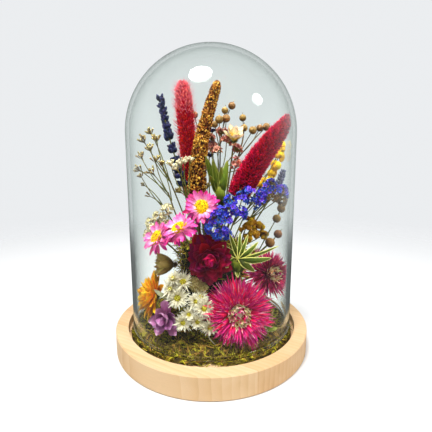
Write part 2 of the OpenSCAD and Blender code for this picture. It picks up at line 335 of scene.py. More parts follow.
class Nodes:
    """Short names for building the nodes of a material or of the world."""

    def __init__(self, owner):
        self.owner = owner
        owner.use_nodes = True
        self.tree = owner.node_tree
        self.shader = self.tree.nodes.get("Principled BSDF")

    def new(self, kind, **values):
        node = self.tree.nodes.new("ShaderNode" + kind)
        for key, value in values.items():
            setattr(node, key, value)
        return node

    def link(self, a, b):
        self.tree.links.new(a, b)

    def math(self, operation, a, b, clamp=False):
        node = self.new("Math", operation=operation, use_clamp=clamp)
        for socket, value in zip(node.inputs, (a, b)):
            if isinstance(value, (int, float)):
                socket.default_value = value
            else:
                self.link(value, socket)
        return node.outputs[0]

    def swing(self, value, amount, about):
        """`about`, moved by up to half of amount either way as value goes from 0 to 1."""
        return self.math("ADD", self.math("MULTIPLY", self.math("SUBTRACT", value, 0.5), amount), about)

    def noise(self, vector, scale, detail=3.0, rough=0.55, distortion=0.0):
        node = fill(self.new("TexNoise"), Scale=scale, Detail=detail, Roughness=rough, Distortion=distortion)
        self.link(vector, node.inputs["Vector"])
        return node.outputs["Fac"]

    def ramp(self, fac, stops):
        node = self.new("ValToRGB")
        ramp = node.color_ramp
        while len(ramp.elements) < len(stops):
            ramp.elements.new(0.5)
        for element, (place, rgb) in zip(ramp.elements, stops):
            element.position = place
            element.color = (*[to_linear(c) for c in rgb], 1)
        self.link(fac, node.inputs["Fac"])
        return node.outputs["Color"]

    def tint(self, colour, value, hue=None):
        node = self.new("HueSaturation")
        self.link(colour, node.inputs["Color"])
        self.link(value, node.inputs["Value"])
        if hue is not None:
            self.link(hue, node.inputs["Hue"])
        return node.outputs["Color"]

    def bump(self, height, strength, distance):
        node = fill(self.new("Bump"), Strength=strength, Distance=distance)
        self.link(height, node.inputs["Height"])
        self.link(node.outputs["Normal"], self.shader.inputs["Normal"])

    def set(self, **values):
        """Sets constants on the shader and gives the material back."""
        fill(self.shader, **values)
        return self.owner


def new_material(name):
    return Nodes(bpy.data.materials.new(name))


def to_linear(c):
    """An sRGB level from 0 to 255 as a linear one."""
    c = c / 255
    return c / 12.92 if c <= 0.04045 else ((c + 0.055) / 1.055) ** 2.4


def plant(name, stops, vary=0.35, streak=0.35, rough=0.6, hue=0.02, by="along", base=0.0, gain=1.0, inner=0.0,
          cloudy=0.35):
    """Dried plant matter: colour along each petal or by chance, with streaks, and papery bumps.
    `inner` moves the colour along the ramp for parts that are deep in a flower."""
    n = new_material(name)
    marks = n.new("Attribute", attribute_name="marks")
    split = n.new("SeparateColor")
    n.link(marks.outputs["Color"], split.inputs[0])
    along, across, chance = split.outputs
    place = n.new("CombineXYZ")
    n.link(n.math("ADD", n.math("MULTIPLY", across, 9.0), n.math("MULTIPLY", chance, 37.0)), place.inputs[0])
    n.link(n.math("MULTIPLY", along, 1.6), place.inputs[1])
    n.link(n.math("MULTIPLY", chance, 11.0), place.inputs[2])
    lines = n.noise(place.outputs[0], 1.6, 3.0)
    where = n.new("TexCoord")
    cloud = n.noise(where.outputs["Object"], 260.0, 3.0)
    lead = n.math("MULTIPLY", along if by == "along" else chance, gain)
    fac = n.swing(cloud, cloudy, n.math("ADD", lead, base))
    if inner:
        fac = n.math("ADD", fac, n.math("MULTIPLY", marks.outputs["Alpha"], inner), clamp=True)
    colour = n.ramp(fac, stops)
    light = n.swing(chance, vary, n.swing(lines, 2 * streak, 1.0))
    turn = n.swing(chance, 2 * hue, 0.5)
    n.link(n.tint(colour, light, turn), n.shader.inputs["Base Color"])
    n.bump(lines, 0.5, 0.0004)
    return n.set(Roughness=rough, Specular_IOR_Level=0.2)


STEM_GREEN = plant("stem_green", [(0, (92, 96, 44)), (0.5, (120, 122, 58)), (1, (104, 88, 40))], vary=0.5)
STEM_BROWN = plant("stem_brown", [(0, (84, 66, 34)), (0.6, (112, 92, 48)), (1, (78, 54, 28))], vary=0.5)
YELLOW_EYE = plant("yellow_eye", [
    (0, (60, 34, 2)), (0.04, (110, 66, 2)), (0.06, (232, 180, 0)), (0.6, (246, 202, 0)),
    (1, (252, 220, 10)),
], vary=0.3, by="chance", cloudy=0.02)
CALYX_BROWN = plant("calyx_brown", [(0, (92, 82, 34)), (0.5, (132, 106, 52)), (1, (152, 120, 70))], vary=0.5)


# ---- parts that flowers share ----


def stem_path(a, b, sag):
    """A gently bowed line from a to b."""
    a, b = np.asarray(a, float), np.asarray(b, float)
    t = np.linspace(0, 1, 7)[:, None]
    side = unit(np.cross(b - a, RNG.normal(size=3)))
    return a + (b - a) * t + side * np.linalg.norm(b - a) * sag * np.sin(math.pi * t) * RNG.uniform(0.2, 0.6)


# Every stem points at this place in the foam.
HUB = np.array([0.0, 0.0, 24.0])


def foot_of(p, reach=22.0):
    """Where the stem to p starts, inside the foam."""
    return HUB + reach * unit(np.asarray(p, float) - HUB)


def stalk(piece, to, reach, sag, r, slot):
    """A gently bowed stem of radius r from the foam to a point."""
    piece.tube(stem_path(foot_of(to, reach), to, sag), r, slot)


def layer(piece, at, facing, count, foot_r, foot_z, shape, slot=0, depth=0.0, wobble=7.0, spread=0.12,
          start=0.0):
    """A ring of petals round the axis `facing` through `at`, each a little different."""
    turn = start + (np.arange(count) + RNG.uniform(-0.28, 0.28, count)) * TAU / count
    tip = np.radians(RNG.normal(0, wobble, count))
    twist = np.radians(RNG.normal(0, wobble * 1.3, count))
    size = RNG.normal(1, spread, count)
    base = frames(np.asarray(facing, float)[None], np.zeros(1))[0]
    for k in range(count):
        p = shape.points * [size[k], 1 + 0.6 * (size[k] - 1), size[k]]
        cw, sw = math.cos(twist[k]), math.sin(twist[k])
        p = p @ np.array([[1, 0, 0], [0, cw, sw], [0, -sw, cw]])
        ct, st = math.cos(tip[k]), math.sin(tip[k])
        p = p @ np.array([[ct, 0, st], [0, 1, 0], [-st, 0, ct]])
        p = p + [foot_r, 0, foot_z]
        c, s = math.cos(turn[k]), math.sin(turn[k])
        p = p @ np.array([[c, s, 0], [-s, c, 0], [0, 0, 1]])
        marks = marks_of(len(p), shape.along, shape.across, RNG.uniform(), depth)
        piece.add(p @ base + at, shape.faces, marks, slot)


def dome_points(count, r, h):
    """Points and outward directions in a sunflower pattern over a low dome of radius r and height h."""
    k = np.arange(count) + 0.5
    rho = np.sqrt(k / count)
    turn = k * 2.39996 + RNG.normal(0, 0.03, count)
    x, y = r * rho * np.cos(turn), r * rho * np.sin(turn)
    z = h * (1 - rho ** 2)
    out = unit(np.stack([x * h / r ** 1.1, y * h / r ** 1.1, np.full(count, r * 0.5)], axis=1))
    return np.stack([x, y, z], axis=1), out


def eye(piece, at, facing, r, h, count, slot, size=0.55, shape=BLOB):
    """The florets at the middle of a daisy-like flower."""
    base = frames(np.asarray(facing, float)[None], np.zeros(1))[0]
    p, out = dome_points(count, r, h)
    piece.scatter(ROUND, at, facing, [[r, r, h * 0.9]], slot, depth=1.0, shade=0.1)
    s = size * r / math.sqrt(count) * 2.2 * RNG.uniform(0.8, 1.15, count)
    piece.scatter(shape, p @ base + at, out @ base, slim(s, 1.3 * s), slot)


def cup(piece, at, facing, r, depth, slot, count=14):
    """Green or brown bracts that hold a flower head from behind."""
    shape = petal_shape(1.15 * r, 0.5 * r, 25, 35, cup=0.4, foot=0.7, peak=0.35, blunt=1.5, rows=4)
    layer(piece, at - unit(facing) * depth, facing, count, 0.1 * r, 0, shape, slot)


def stemmed(piece, head, facing, back, slot, r=0.8, reach=22.0):
    """The stem from the foam to the back of a flower head."""
    behind = np.asarray(head, float) - unit(facing) * back
    start = foot_of(behind, reach)
    t = np.linspace(0, 1, 9)[:, None]
    bow = behind - unit(facing) * np.linalg.norm(behind - start) * 0.35
    path = (1 - t) ** 2 * start + 2 * t * (1 - t) * bow + t ** 2 * behind
    piece.tube(path, r, slot)


# ---- strawflowers ----


def strawflower(name, slot, node, at, facing, rings, materials, eye_r=0.0, eye_h=2.0, eye_count=90,
                reach=22.0):
    """A head of stiff petals in rings, each ring (count, foot_r, foot_z, petal shape, depth)."""
    piece = Piece()
    at, facing = np.asarray(at, float), unit(facing)
    for i, (count, foot_r, foot_z, shape, depth) in enumerate(rings):
        layer(piece, at, facing, count, foot_r, foot_z, shape, 0, depth, start=i * 2.4)
    if eye_r:
        eye(piece, at + facing * rings[-1][2], facing, eye_r, eye_h, eye_count, 1, shape=SCALE)
    cup(piece, at, facing, 0.3 * rings[0][3].points[:, 0].max() + 2, 3.0, 2)
    stemmed(piece, at, facing, 5, 2, reach=reach)
    piece.build(name, materials, slot, node)


def spiky_rings(r, rings, count, width, lean, inner):
    """Rings of narrow pointed petals that shorten and stand up toward the middle."""
    curl = (14, -6)
    made = []
    for i in range(rings):
        t = i / (rings - 1)
        shape = petal_shape(r * (0.82 - (0.82 - inner) * t), width * (1 - 0.2 * t),
                            lean[0] + (lean[1] - lean[0]) * t, curl[0] + (curl[1] - curl[0]) * t, cup=0.6,
                            foot=0.6, peak=0.5, blunt=1.2, rows=5)
        made.append((int(count * (1 - 0.25 * t)), r * (0.16 + 0.09 * t), 0.8 * i, shape, t))
    return made


def papery_rings(r, rings, count, width, lean, curl, lift=1.0, shrink=0.55, blunt=1.7, peak=0.55, cup=0.55,
                 thin=0.45):
    """Rings of broad petals that close in over the middle."""
    made = []
    for i in range(rings):
        t = i / max(rings - 1, 1)
        shape = petal_shape(r * (1 - (1 - shrink) * t), width * (1 - 0.3 * t),
                            lean[0] + (lean[1] - lean[0]) * t, curl[0] + (curl[1] - curl[0]) * t, cup=cup,
                            foot=0.5, peak=peak, blunt=blunt, rows=7, columns=5)
        made.append((max(5, int(count * (1 - thin * t))), r * 0.1 * (1 - 0.6 * t), lift * i, shape, t))
    return made


MAGENTA = plant("magenta_petal", [
    (0, (150, 0, 52)), (0.3, (198, 2, 80)), (0.65, (230, 10, 108)), (0.9, (240, 40, 132)),
    (1, (252, 136, 176)),
], vary=0.7, streak=0.4, cloudy=0.4)
DEEP_MAGENTA = plant("deep_magenta_petal", [
    (0, (70, 0, 26)), (0.35, (122, 0, 50)), (0.7, (176, 6, 84)), (1, (224, 60, 126)),
], vary=0.8, streak=0.4, cloudy=0.4)
BUFF = plant("buff_petal", [(0, (150, 40, 60)), (0.5, (206, 120, 84)), (1, (236, 190, 130))], vary=0.4)
PALE_MAGENTA = plant("pale_magenta_petal", [
    (0, (226, 40, 104)), (0.5, (244, 100, 148)), (1, (254, 186, 204)),
], vary=0.4)
GOLD_EYE = plant("gold_eye", [(0, (232, 170, 80)), (0.4, (250, 224, 146)), (1, (255, 250, 222))], vary=0.3)
BURGUNDY = plant("burgundy_petal", [
    (0, (60, 0, 20)), (0.3, (110, 0, 40)), (0.6, (150, 2, 58)), (0.85, (196, 6, 84)), (1, (228, 24, 116)),
], vary=0.5, streak=0.3, base=0.05, gain=0.45, inner=0.45, rough=0.42, cloudy=0.2)
ORANGE = plant("orange_petal", [
    (0, (236, 122, 0)), (0.3, (255, 162, 0)), (0.75, (255, 188, 4)), (1, (255, 212, 48)),
], vary=0.35, streak=0.35, rough=0.45)
PURPLE = plant("purple_petal", [
    (0, (110, 48, 90)), (0.4, (162, 86, 140)), (0.8, (192, 120, 170)), (1, (228, 180, 214)),
], vary=0.3, streak=0.3, rough=0.35)
CREAM_YELLOW = plant("cream_yellow_petal", [
    (0, (236, 196, 10)), (0.4, (248, 222, 90)), (0.7, (252, 240, 196)), (1, (246, 206, 184)),
], vary=0.15, streak=0.25, rough=0.45)
OLIVE = plant("olive_petal", [
    (0, (92, 72, 26)), (0.5, (146, 120, 54)), (0.85, (176, 148, 80)), (1, (190, 160, 104)),
], vary=0.5, streak=0.5)


def magenta(name, node, at, facing, r, rings, count, width, lean, petal, pale_petal):
    """A strawflower of many narrow petals round a cream and gold middle."""
    piece = Piece()
    at, facing = np.asarray(at, float), unit(facing)
    for i, (n, foot_r, foot_z, shape, depth) in enumerate(spiky_rings(r, rings, count, width, lean, 0.34)):
        layer(piece, at, facing, n, foot_r, foot_z, shape, 0, depth, wobble=8, spread=0.11, start=i * 2.4)
        pale = petal_shape(shape.points[:, 0].max() * 0.98, 0.5 * width,
                           lean[0] + (lean[1] - lean[0]) * depth + 3, 8, cup=0.6, blunt=1.2, rows=5)
        layer(piece, at, facing, n // 6, foot_r, foot_z + 0.4, pale, 3, depth, wobble=8, start=i)
    top = rings * 0.8
    gold = petal_shape(0.22 * r, 0.05 * r, 60, 40, cup=0.5, blunt=1.4, rows=4)
    for foot in (0.25, 0.2, 0.14):
        layer(piece, at, facing, int(22 + r), foot * r, top - 1.5, gold, 1, 0.5, wobble=20, spread=0.2,
              start=9 * foot)
    heart = petal_shape(0.26 * r, 0.08 * r, 50, 50, cup=0.5, blunt=1.4, rows=5)
    layer(piece, at, facing, 16, 0.13 * r, top - 1, heart, 3, 0.5, wobble=16, spread=0.25)
    layer(piece, at, facing, 11, 0.07 * r, top - 0.5, heart, 0, 0.5, wobble=16, spread=0.25, start=2)
    piece.scatter(ROUND, at + facing * (top - 2.5), facing, [[0.26 * r, 0.26 * r, 0.1 * r]], 1, shade=0.2)
    cup(piece, at, facing, 0.3 * r + 2, 3.0, 2)
    stemmed(piece, at, facing, 5, 2)
    piece.build(name, [petal, GOLD_EYE, STEM_GREEN, pale_petal], "magenta_petals", node)


magenta(
    "magenta_bloom_large", "strawflower_magenta_large", (20, -42, 25), (0.1, -1, 0.2), 29, 11, 72, 1.9,
    (-6, 46), MAGENTA, PALE_MAGENTA,
)
magenta(
    "magenta_bloom_right", "strawflower_magenta_right", (46, -23, 49), (0.5, -0.78, 0.32), 21.5, 10, 60,
    1.35, (-14, 60), DEEP_MAGENTA, BUFF,
)
strawflower(
    "burgundy_strawflower", "burgundy_petals", "strawflower_burgundy", (-2, -34, 66), (0.06, -1, 0.16),
    papery_rings(17.5, 9, 16, 9.0, (4, 84), (16, 84), 1.15, 0.42, 2.0, 0.6, 0.4, 0.5),
    [BURGUNDY, BURGUNDY, STEM_GREEN],
)
strawflower(
    "orange_strawflower", "orange_petals", "strawflower_orange", (-47, -17, 28), (-0.93, -0.3, 0.25),
    papery_rings(18.5, 6, 24, 6.4, (0, 62), (8, 30), 1.2, 0.5, 1.7), [ORANGE, YELLOW_EYE, STEM_GREEN], 7,
    3, 110,
)
strawflower(
    "purple_strawflower", "purple_petals", "strawflower_purple", (-35, -38, 18), (-0.35, -0.85, 0.25),
    papery_rings(13.5, 3, 8, 8.4, (12, 56), (34, 50), 1.8, 0.8, 2.8, 0.62, 0.45, 0.3),
    [PURPLE, PURPLE, STEM_GREEN],
)
strawflower(
    "cream_strawflower", "cream_petals", "strawflower_cream", (19.4, 5, 159), (0.05, -0.55, 0.85),
    papery_rings(11.5, 3, 11, 5.4, (44, 72), (8, 10), 0.6, 0.85, 1.6, 0.6, 0.35, 0.2),
    [CREAM_YELLOW, CREAM_YELLOW, STEM_GREEN], reach=34,
)
strawflower(
    "olive_bud_head", "olive_bud", "olive_bud", (-31, -22, 57), (-1, -0.2, 0.12),
    papery_rings(15, 4, 9, 8.0, (34, 60), (60, 50), 0.8, 0.85, 1.4, 0.5, 0.75, 0.2),
    [OLIVE, OLIVE, STEM_BROWN],
)

# ---- acrocliniums and daisies ----

PINK = plant("pink_petal", [
    (0, (252, 236, 240)), (0.3, (250, 196, 222)), (0.55, (240, 120, 186)), (0.8, (226, 44, 142)),
    (1, (200, 16, 116)),
], vary=0.25, streak=0.4, rough=0.5, base=0.5, gain=0.42, inner=-0.26, cloudy=0.3)
WHITE = plant("white_petal", [
    (0, (190, 172, 112)), (0.25, (228, 216, 180)), (1, (246, 240, 218)),
], vary=0.25, streak=0.2, rough=0.55, hue=0.01)
PALE_EYE = plant("pale_eye", [
    (0, (150, 140, 20)), (0.5, (206, 190, 40)), (1, (230, 216, 90)),
], vary=0.4, by="chance")


def acroclinium(name, node, at, facing, droop):
    """A pink daisy-like head. `droop` leans its outer petals, in degrees."""
    piece = Piece()
    at, facing = np.asarray(at, float), unit(facing)
    rings = [(20, 9.4, droop - 14), (20, 9.2, droop), (18, 8.6, 8), (16, 7.2, 24)]
    for i, (count, r, lean) in enumerate(rings):
        shape = petal_shape(r, 3.3 - 0.2 * i, lean, 12, cup=0.4, foot=0.5, peak=0.6, blunt=1.3, rows=7,
                            columns=4)
        layer(piece, at, facing, count, 4.9 - 0.4 * i, 0.5 * i, shape, 0, i / 3, wobble=11, spread=0.13,
              start=i)
    eye(piece, at + facing * 1.2, facing, 6.6, 2.4, 220, 1, 0.5)
    cup(piece, at, facing, 5.0, 2.4, 0, 18)
    stemmed(piece, at, facing, 3.5, 2, 0.7, 30)
    piece.build(name, [PINK, YELLOW_EYE, STEM_GREEN], "pink_petals", node)


acroclinium("acroclinium_head_top", "acroclinium_top", (-7.5, -28, 106), (0.08, -0.95, 0.32), 0)
acroclinium("acroclinium_head_middle", "acroclinium_middle", (-24, -38, 91), (-0.4, -0.42, 0.85), -30)
acroclinium("acroclinium_head_left", "acroclinium_left", (-42, -30, 82), (-0.62, -0.55, 0.55), -26)


def daisy_head(piece, at, facing, r):
    """A small white daisy of radius r on its stem."""
    at, facing = np.asarray(at, float), unit(facing)
    for i in range(4):
        shape = petal_shape(r * (0.8 - 0.1 * i), 1.05, -8 + 16 * i, 14, cup=0.4, foot=0.7, peak=0.5,
                            blunt=1.3, rows=4)
        layer(piece, at, facing, 24 - 3 * i, 0.24 * r, 0.3 * i, shape, 0, i / 3, wobble=13, spread=0.2,
              start=i)
    eye(piece, at + facing * 0.4, facing, 0.3 * r, 0.16 * r, 46, 1)
    cup(piece, at, facing, 0.36 * r, 1.2, 2, 9)
    stemmed(piece, at, facing, 1.6, 2, 0.5)


def daisy(name, node, *heads):
    """A piece of one or two daisies, each (place, facing, radius)."""
    piece = Piece()
    for at, facing, r in heads:
        daisy_head(piece, at, facing, r)
    piece.build(name, [WHITE, PALE_EYE, STEM_GREEN], "white_petals", node)


DAISIES = [
    [((-25.5, -46, 38.5), (-0.1, -1, 0.35), 9.0), ((-31, -43, 45), (-0.6, -0.6, 0.6), 7.5)],
    [((-5.5, -50, 32), (0.1, -1, 0.2), 8.0), ((-8, -45, 39), (0.2, -0.7, 0.7), 6.0)],
    [((-21, -51, 21), (-0.2, -1, 0.1), 7.2), ((-17, -50, 27), (0.1, -1, 0.4), 6.0)],
    [((-12, -47, 36), (0.3, -1, 0.5), 7.0)], [((-10.5, -51, 22), (0.1, -1, -0.1), 7.0)],
    [((-1, -52, 18), (0.15, -1, -0.15), 7.8)],
    [((-22, -40, 49), (0.05, -0.7, 0.8), 9.0), ((-29, -41, 52), (-0.5, -0.4, 0.8), 7.5)],
]
for index, heads in enumerate(DAISIES, 1):
    daisy(f"daisy_head_{index}", f"daisy_{index}", *heads)

# ---- plumes and spikes ----


def along_path(path, t):
    """Points and directions at shares t of a path of corner points, smoothed."""
    path = np.asarray(path, float)
    n = len(path)
    keys = np.linspace(0, 1, n)
    fine = np.linspace(0, 1, 60)
    p = np.stack([np.interp(fine, keys, path[:, k]) for k in range(3)], axis=1)
    for _ in range(12):
        p[1:-1] = (p[:-2] + 2 * p[1:-1] + p[2:]) / 4
    at = np.stack([np.interp(t, fine, p[:, k]) for k in range(3)], axis=1)
    way = np.gradient(p, axis=0)
    way = unit(np.stack([np.interp(t, fine, way[:, k]) for k in range(3)], axis=1))
    return at, way


def around(path, t, r, turn=None):
    """Points round a path at shares t and radius r, with their outward and onward directions."""
    at, way = along_path(path, t)
    turn = RNG.uniform(0, TAU, len(t)) if turn is None else turn
    base = frames(way, turn)
    out = base[:, 0]
    return at + out * np.broadcast_to(r, (len(t),))[:, None], out, way


def core(piece, path, r, slot):
    """The solid middle of a plume, with radius r(t). It is drawn darker (shade 0.2): painted shade where it
    shows between the tufts and grains.
    """
    t = np.linspace(0, 1, 14)
    at, _ = along_path(path, t)
    piece.tube(at, np.maximum(r(t), 0.1), slot, sides=10, shade=0.2)


def bottle_brush(t, foot, peak, end, blunt):
    """The outline of a plume: `foot` at its base, full from `peak` on, drawn in past `end` to a tip that is
    pointed at a `blunt` of 1 and round at 0.4."""
    rise = foot + (1 - foot) * np.sin(math.pi / 2 * np.minimum(t / peak, 1))
    return rise * np.clip(1 - np.maximum(0, (t - end) / (1 - end)) ** (1 + 1 / blunt), 0, 1) ** blunt


def plume(name, slot, path, r, outline, materials, tufts, tuft, hairs, hair_len, stem_from, highlight_from=2.0):
    """A plume of short stiff tufts with longer fine hairs. `tuft` is the length and thickness of one.
    Tufts past a given share along it take the fourth material, paler: a painted highlight where the
    lamp's reflection in the glass lies over the plume.
    """
    piece = Piece()
    core(piece, path, lambda t: 0.6 * r * bottle_brush(t, *outline), 0)
    t = RNG.uniform(0, 1, tufts)
    at, out, way = around(path, t, 0.56 * r * bottle_brush(t, *outline))
    toward = unit(out * 0.9 + way * RNG.uniform(0.3, 0.9, tufts)[:, None] + RNG.normal(0, 0.2, (tufts, 3)))
    length = tuft[0] * RNG.uniform(0.65, 1.25, tufts)
    thick = tuft[1] * RNG.uniform(0.8, 1.3, tufts)
    # Tufts near the tip get the paler material: a painted highlight, the lamp's reflection in the glass.
    pale = t + RNG.normal(0, 0.03, tufts) > highlight_from
    for which, material in ((~pale, 0), (pale, 3)):
        if which.any():
            piece.scatter(SCALE, at[which], toward[which], slim(thick, length)[which], material,
                          depth=t[which])
    t = RNG.uniform(0, 1, hairs)
    at, out, way = around(path, t, 0.8 * r * bottle_brush(t, *outline))
    toward = unit(out * 0.9 + way * RNG.uniform(0.5, 1.2, hairs)[:, None])
    size = slim(RNG.uniform(0.05, 0.1, hairs), hair_len * RNG.uniform(0.6, 1.2, hairs))
    piece.scatter(HAIR, at, toward, size, 1, depth=t)
    piece.tube(stem_path(foot_of(stem_from, 30), path[0], 0.03), 0.9, 2)
    piece.build(name, materials, slot, slot)


# Crimson tufts darken toward their foot: painted shade in the gaps between the tufts.
CRIMSON = plant("crimson_tuft", [
    (0, (50, 0, 12)), (0.4, (124, 0, 30)), (0.8, (192, 0, 52)), (1, (234, 20, 96)),
], vary=1.0, streak=0.1, rough=0.6, hue=0.012, cloudy=0.5)
CRIMSON_HAIR = plant("crimson_hair", [(0, (130, 0, 36)), (0.6, (196, 6, 66)), (1, (232, 60, 116))], vary=0.4)
# The dark end of this ramp, at the foot of each tuft, is painted shade between the tufts too.
RED_TUFT = plant("red_tuft", [
    (0, (96, 0, 8)), (0.5, (196, 2, 24)), (1, (238, 30, 54)),
], vary=0.9, rough=0.6, hue=0.012, cloudy=0.5)
# Paler tufts for the top of the pink plume: a painted highlight where the lamp's reflection in the glass
# falls.
HIGHLIGHT_TUFT = plant("painted_highlight_tuft", [(0, (190, 30, 50)), (0.5, (232, 96, 110)), (1, (246, 150, 158))], vary=0.5)
PINK_HAIR = plant("pink_hair", [(0, (206, 20, 50)), (0.5, (230, 70, 96)), (1, (244, 140, 156))], vary=0.4)

plume(
    "crimson_plume_head", "crimson_plume",
    [(21, -11, 112), (35, -12, 138), (50, -13, 159), (62, -14, 175)], 13, (0.75, 0.2, 0.05, 0.85),
    [CRIMSON, CRIMSON_HAIR, STEM_BROWN], 6400, (4.0, 0.4), 700, 4.0, (21, -11, 112),
)
# The pink plume's tufts from 0.76 along it to the tip get the painted highlight material.
plume(
    "pink_plume_head", "pink_plume", [(-19.5, 8, 110), (-19.5, 8, 140), (-22, 8, 175), (-24.5, 8, 207)],
    9.2, (0.5, 0.5, 0.72, 0.5), [RED_TUFT, PINK_HAIR, STEM_GREEN, HIGHLIGHT_TUFT], 4600, (3.0, 0.32), 1500, 5.5,
    (-20, 8, 110), 0.76,
)

MILLET = plant("millet_grain", [
    (0, (50, 22, 4)), (0.35, (124, 66, 12)), (0.7, (184, 112, 28)), (1, (230, 172, 78)),
], vary=0.6, streak=0.1, rough=0.4, by="chance")
# A near-black core material: painted shade where the core shows between the grains.
MILLET_SHADE_CORE = plant("millet_core_painted_shade", [(0, (44, 24, 8)), (1, (84, 48, 16))], vary=0.5, by="chance")
MILLET_HAIR = plant("millet_hair", [(0, (96, 54, 16)), (1, (160, 104, 40))], vary=0.5)


def millet():
    """A drooping spike packed with grains."""
    piece = Piece()
    path = [(-12.5, -8, 98), (-12.5, -8, 116), (-10.8, -7, 142), (-7, -6, 164), (-1, -5, 185), (5.5, -4, 205)]

    def r(t):
        return (9.6 - 6.0 * t ** 0.9) * np.sqrt(np.clip(1 - np.maximum(0, (t - 0.93) / 0.07) ** 2, 0.04, 1))

    # The core, in its dark material, is painted shade in the gaps between the grains.
    core(piece, path, lambda t: 0.72 * r(t), 2)
    grains, hairs = 4200, 900
    t = RNG.uniform(0, 1, grains)
    at, out, way = around(path, t, r(t) * RNG.uniform(0.68, 0.98, grains))
    size = RNG.uniform(0.5, 0.78, grains)
    toward = unit(out + 0.8 * way + RNG.normal(0, 0.3, (grains, 3)))
    piece.scatter(BLOB, at, toward, slim(size, 1.5 * size), 0)
    t = RNG.uniform(0, 1, hairs)
    at, out, way = around(path, t, 0.85 * r(t))
    size = slim(RNG.uniform(0.05, 0.09, hairs), RNG.uniform(1.4, 2.6, hairs))
    piece.scatter(HAIR, at, unit(out + 0.7 * way), size, 1)
    stalk(piece, path[0], 30, 0.02, 1.0, 3)
    materials = [MILLET, MILLET_HAIR, MILLET_SHADE_CORE, STEM_BROWN]
    piece.build("golden_millet_head", materials, "golden_millet", "golden_millet")


millet()

LAVENDER = plant("lavender_bud", [
    (0, (52, 44, 40)), (0.2, (26, 28, 52)), (0.7, (38, 42, 80)), (0.92, (60, 62, 104)), (1, (120, 90, 70)),
], vary=0.7, streak=0.3, rough=0.7, cloudy=0.5)
GREY_LAVENDER = plant("lavender_grey", [
    (0, (96, 92, 110)), (0.6, (124, 126, 160)), (1, (160, 160, 184)),
], vary=0.4)


def lavender(name, node, path, places, size, colour, per=9):
    """Whorls of buds at shares `places` of the path."""
    piece = Piece()
    for i, t in enumerate(places):
        grow = size * (1 - 0.3 * t) * RNG.uniform(0.9, 1.1)
        for ring, count in ((0, per), (1, per - 3)):
            at, out, way = around(path, np.full(count, t) + 0.012 * ring + RNG.normal(0, 0.01, count),
                                  0.22 * grow, np.arange(count) * TAU / count + i + ring)
            toward = unit(out * (0.9 - 0.3 * ring) + way * RNG.uniform(0.7, 1.3, count)[:, None])
            thick = grow * RNG.uniform(0.26, 0.34, count)
            piece.scatter(TEAR, at, toward, slim(thick, grow * RNG.uniform(0.85, 1.2, count)), 0)
    stalk(piece, path[0], 30, 0.02, 0.6, 1)
    piece.tube(along_path(path, np.linspace(0, 1, 12))[0], 0.6, 1)
    piece.build(name, [colour, STEM_GREEN], "lavender", node)


lavender(
    "lavender_head_left", "lavender_left",
    [(-24, -4, 119), (-29, -5, 140), (-35, -6, 162), (-41, -6, 191)],
    [0.02, 0.14, 0.22, 0.34, 0.46, 0.51, 0.62, 0.68, 0.74, 0.80, 0.86, 0.92, 0.98], 5.6, LAVENDER,
)
lavender(
    "lavender_head_middle", "lavender_middle", [(-2, 16, 144), (0, 17, 156), (1, 18, 168)],
    [0.05, 0.3, 0.5, 0.7, 0.95], 4.4, LAVENDER, 7,
)
lavender(
    "lavender_head_right", "lavender_right", [(57, -1, 119), (60, -1, 126), (62, -1, 132)],
    [0.0, 0.2, 0.4, 0.6, 0.8, 1.0], 4.4, GREY_LAVENDER, 6,
)

# ---- sprays ----

TWIG_R, SPRAY_STEM_R = 0.35, 0.6


def spray(name, node, slot, split, places, head, materials, reach=30.0):
    """A branched stem with head(piece, place, outward) drawn at each place."""
    piece = Piece()
    split = np.asarray(split, float)
    start = foot_of(split, reach)
    piece.tube(stem_path(start, split, 0.05), SPRAY_STEM_R, 1)
    down = unit(split - start)
    for i, place in enumerate(places):
        place = np.asarray(place, float)
        begin = split - down * (1 + 1.7 * i)
        path = stem_path(begin, place, 0.14)
        piece.tube(path, np.linspace(0.8 * SPRAY_STEM_R, TWIG_R, len(path)), 1)
        head(piece, place, unit(path[-1] - path[-3]))
    piece.build(name, materials, slot, node)


def puff(count, way, lean):
    """Directions spread all round, drawn toward `way` by `lean`."""
    return unit(unit(RNG.normal(size=(count, 3))) + lean * way)


SEED = plant("seed_capsule", [
    (0, (84, 58, 26)), (0.35, (140, 106, 54)), (0.8, (176, 140, 82)), (1, (112, 78, 40)),
], vary=0.35, streak=0.5, rough=0.5)
DARK_SEED = plant("dark_seed_capsule", [
    (0, (60, 36, 6)), (0.4, (128, 86, 26)), (0.9, (170, 122, 50)), (1, (78, 50, 20)),
], vary=0.4, streak=0.5, rough=0.5)


def capsule(size):
    """A ribbed seed ball with a beak and five sepals."""
    def head(piece, place, way):
        piece.scatter(POD, place, way, size * RNG.uniform(0.86, 1.1), 0)
        piece.scatter(HAIR, place + way * size * 1.1, way, [[0.3, 0.3, 0.5 * size]], 1)
        sepal = petal_shape(0.7 * size, 0.5 * size, 30, 40, cup=0.4, blunt=1.3, rows=4)
        layer(piece, place - way * size, way, 5, 0.1, 0, sepal, 1)
    return head


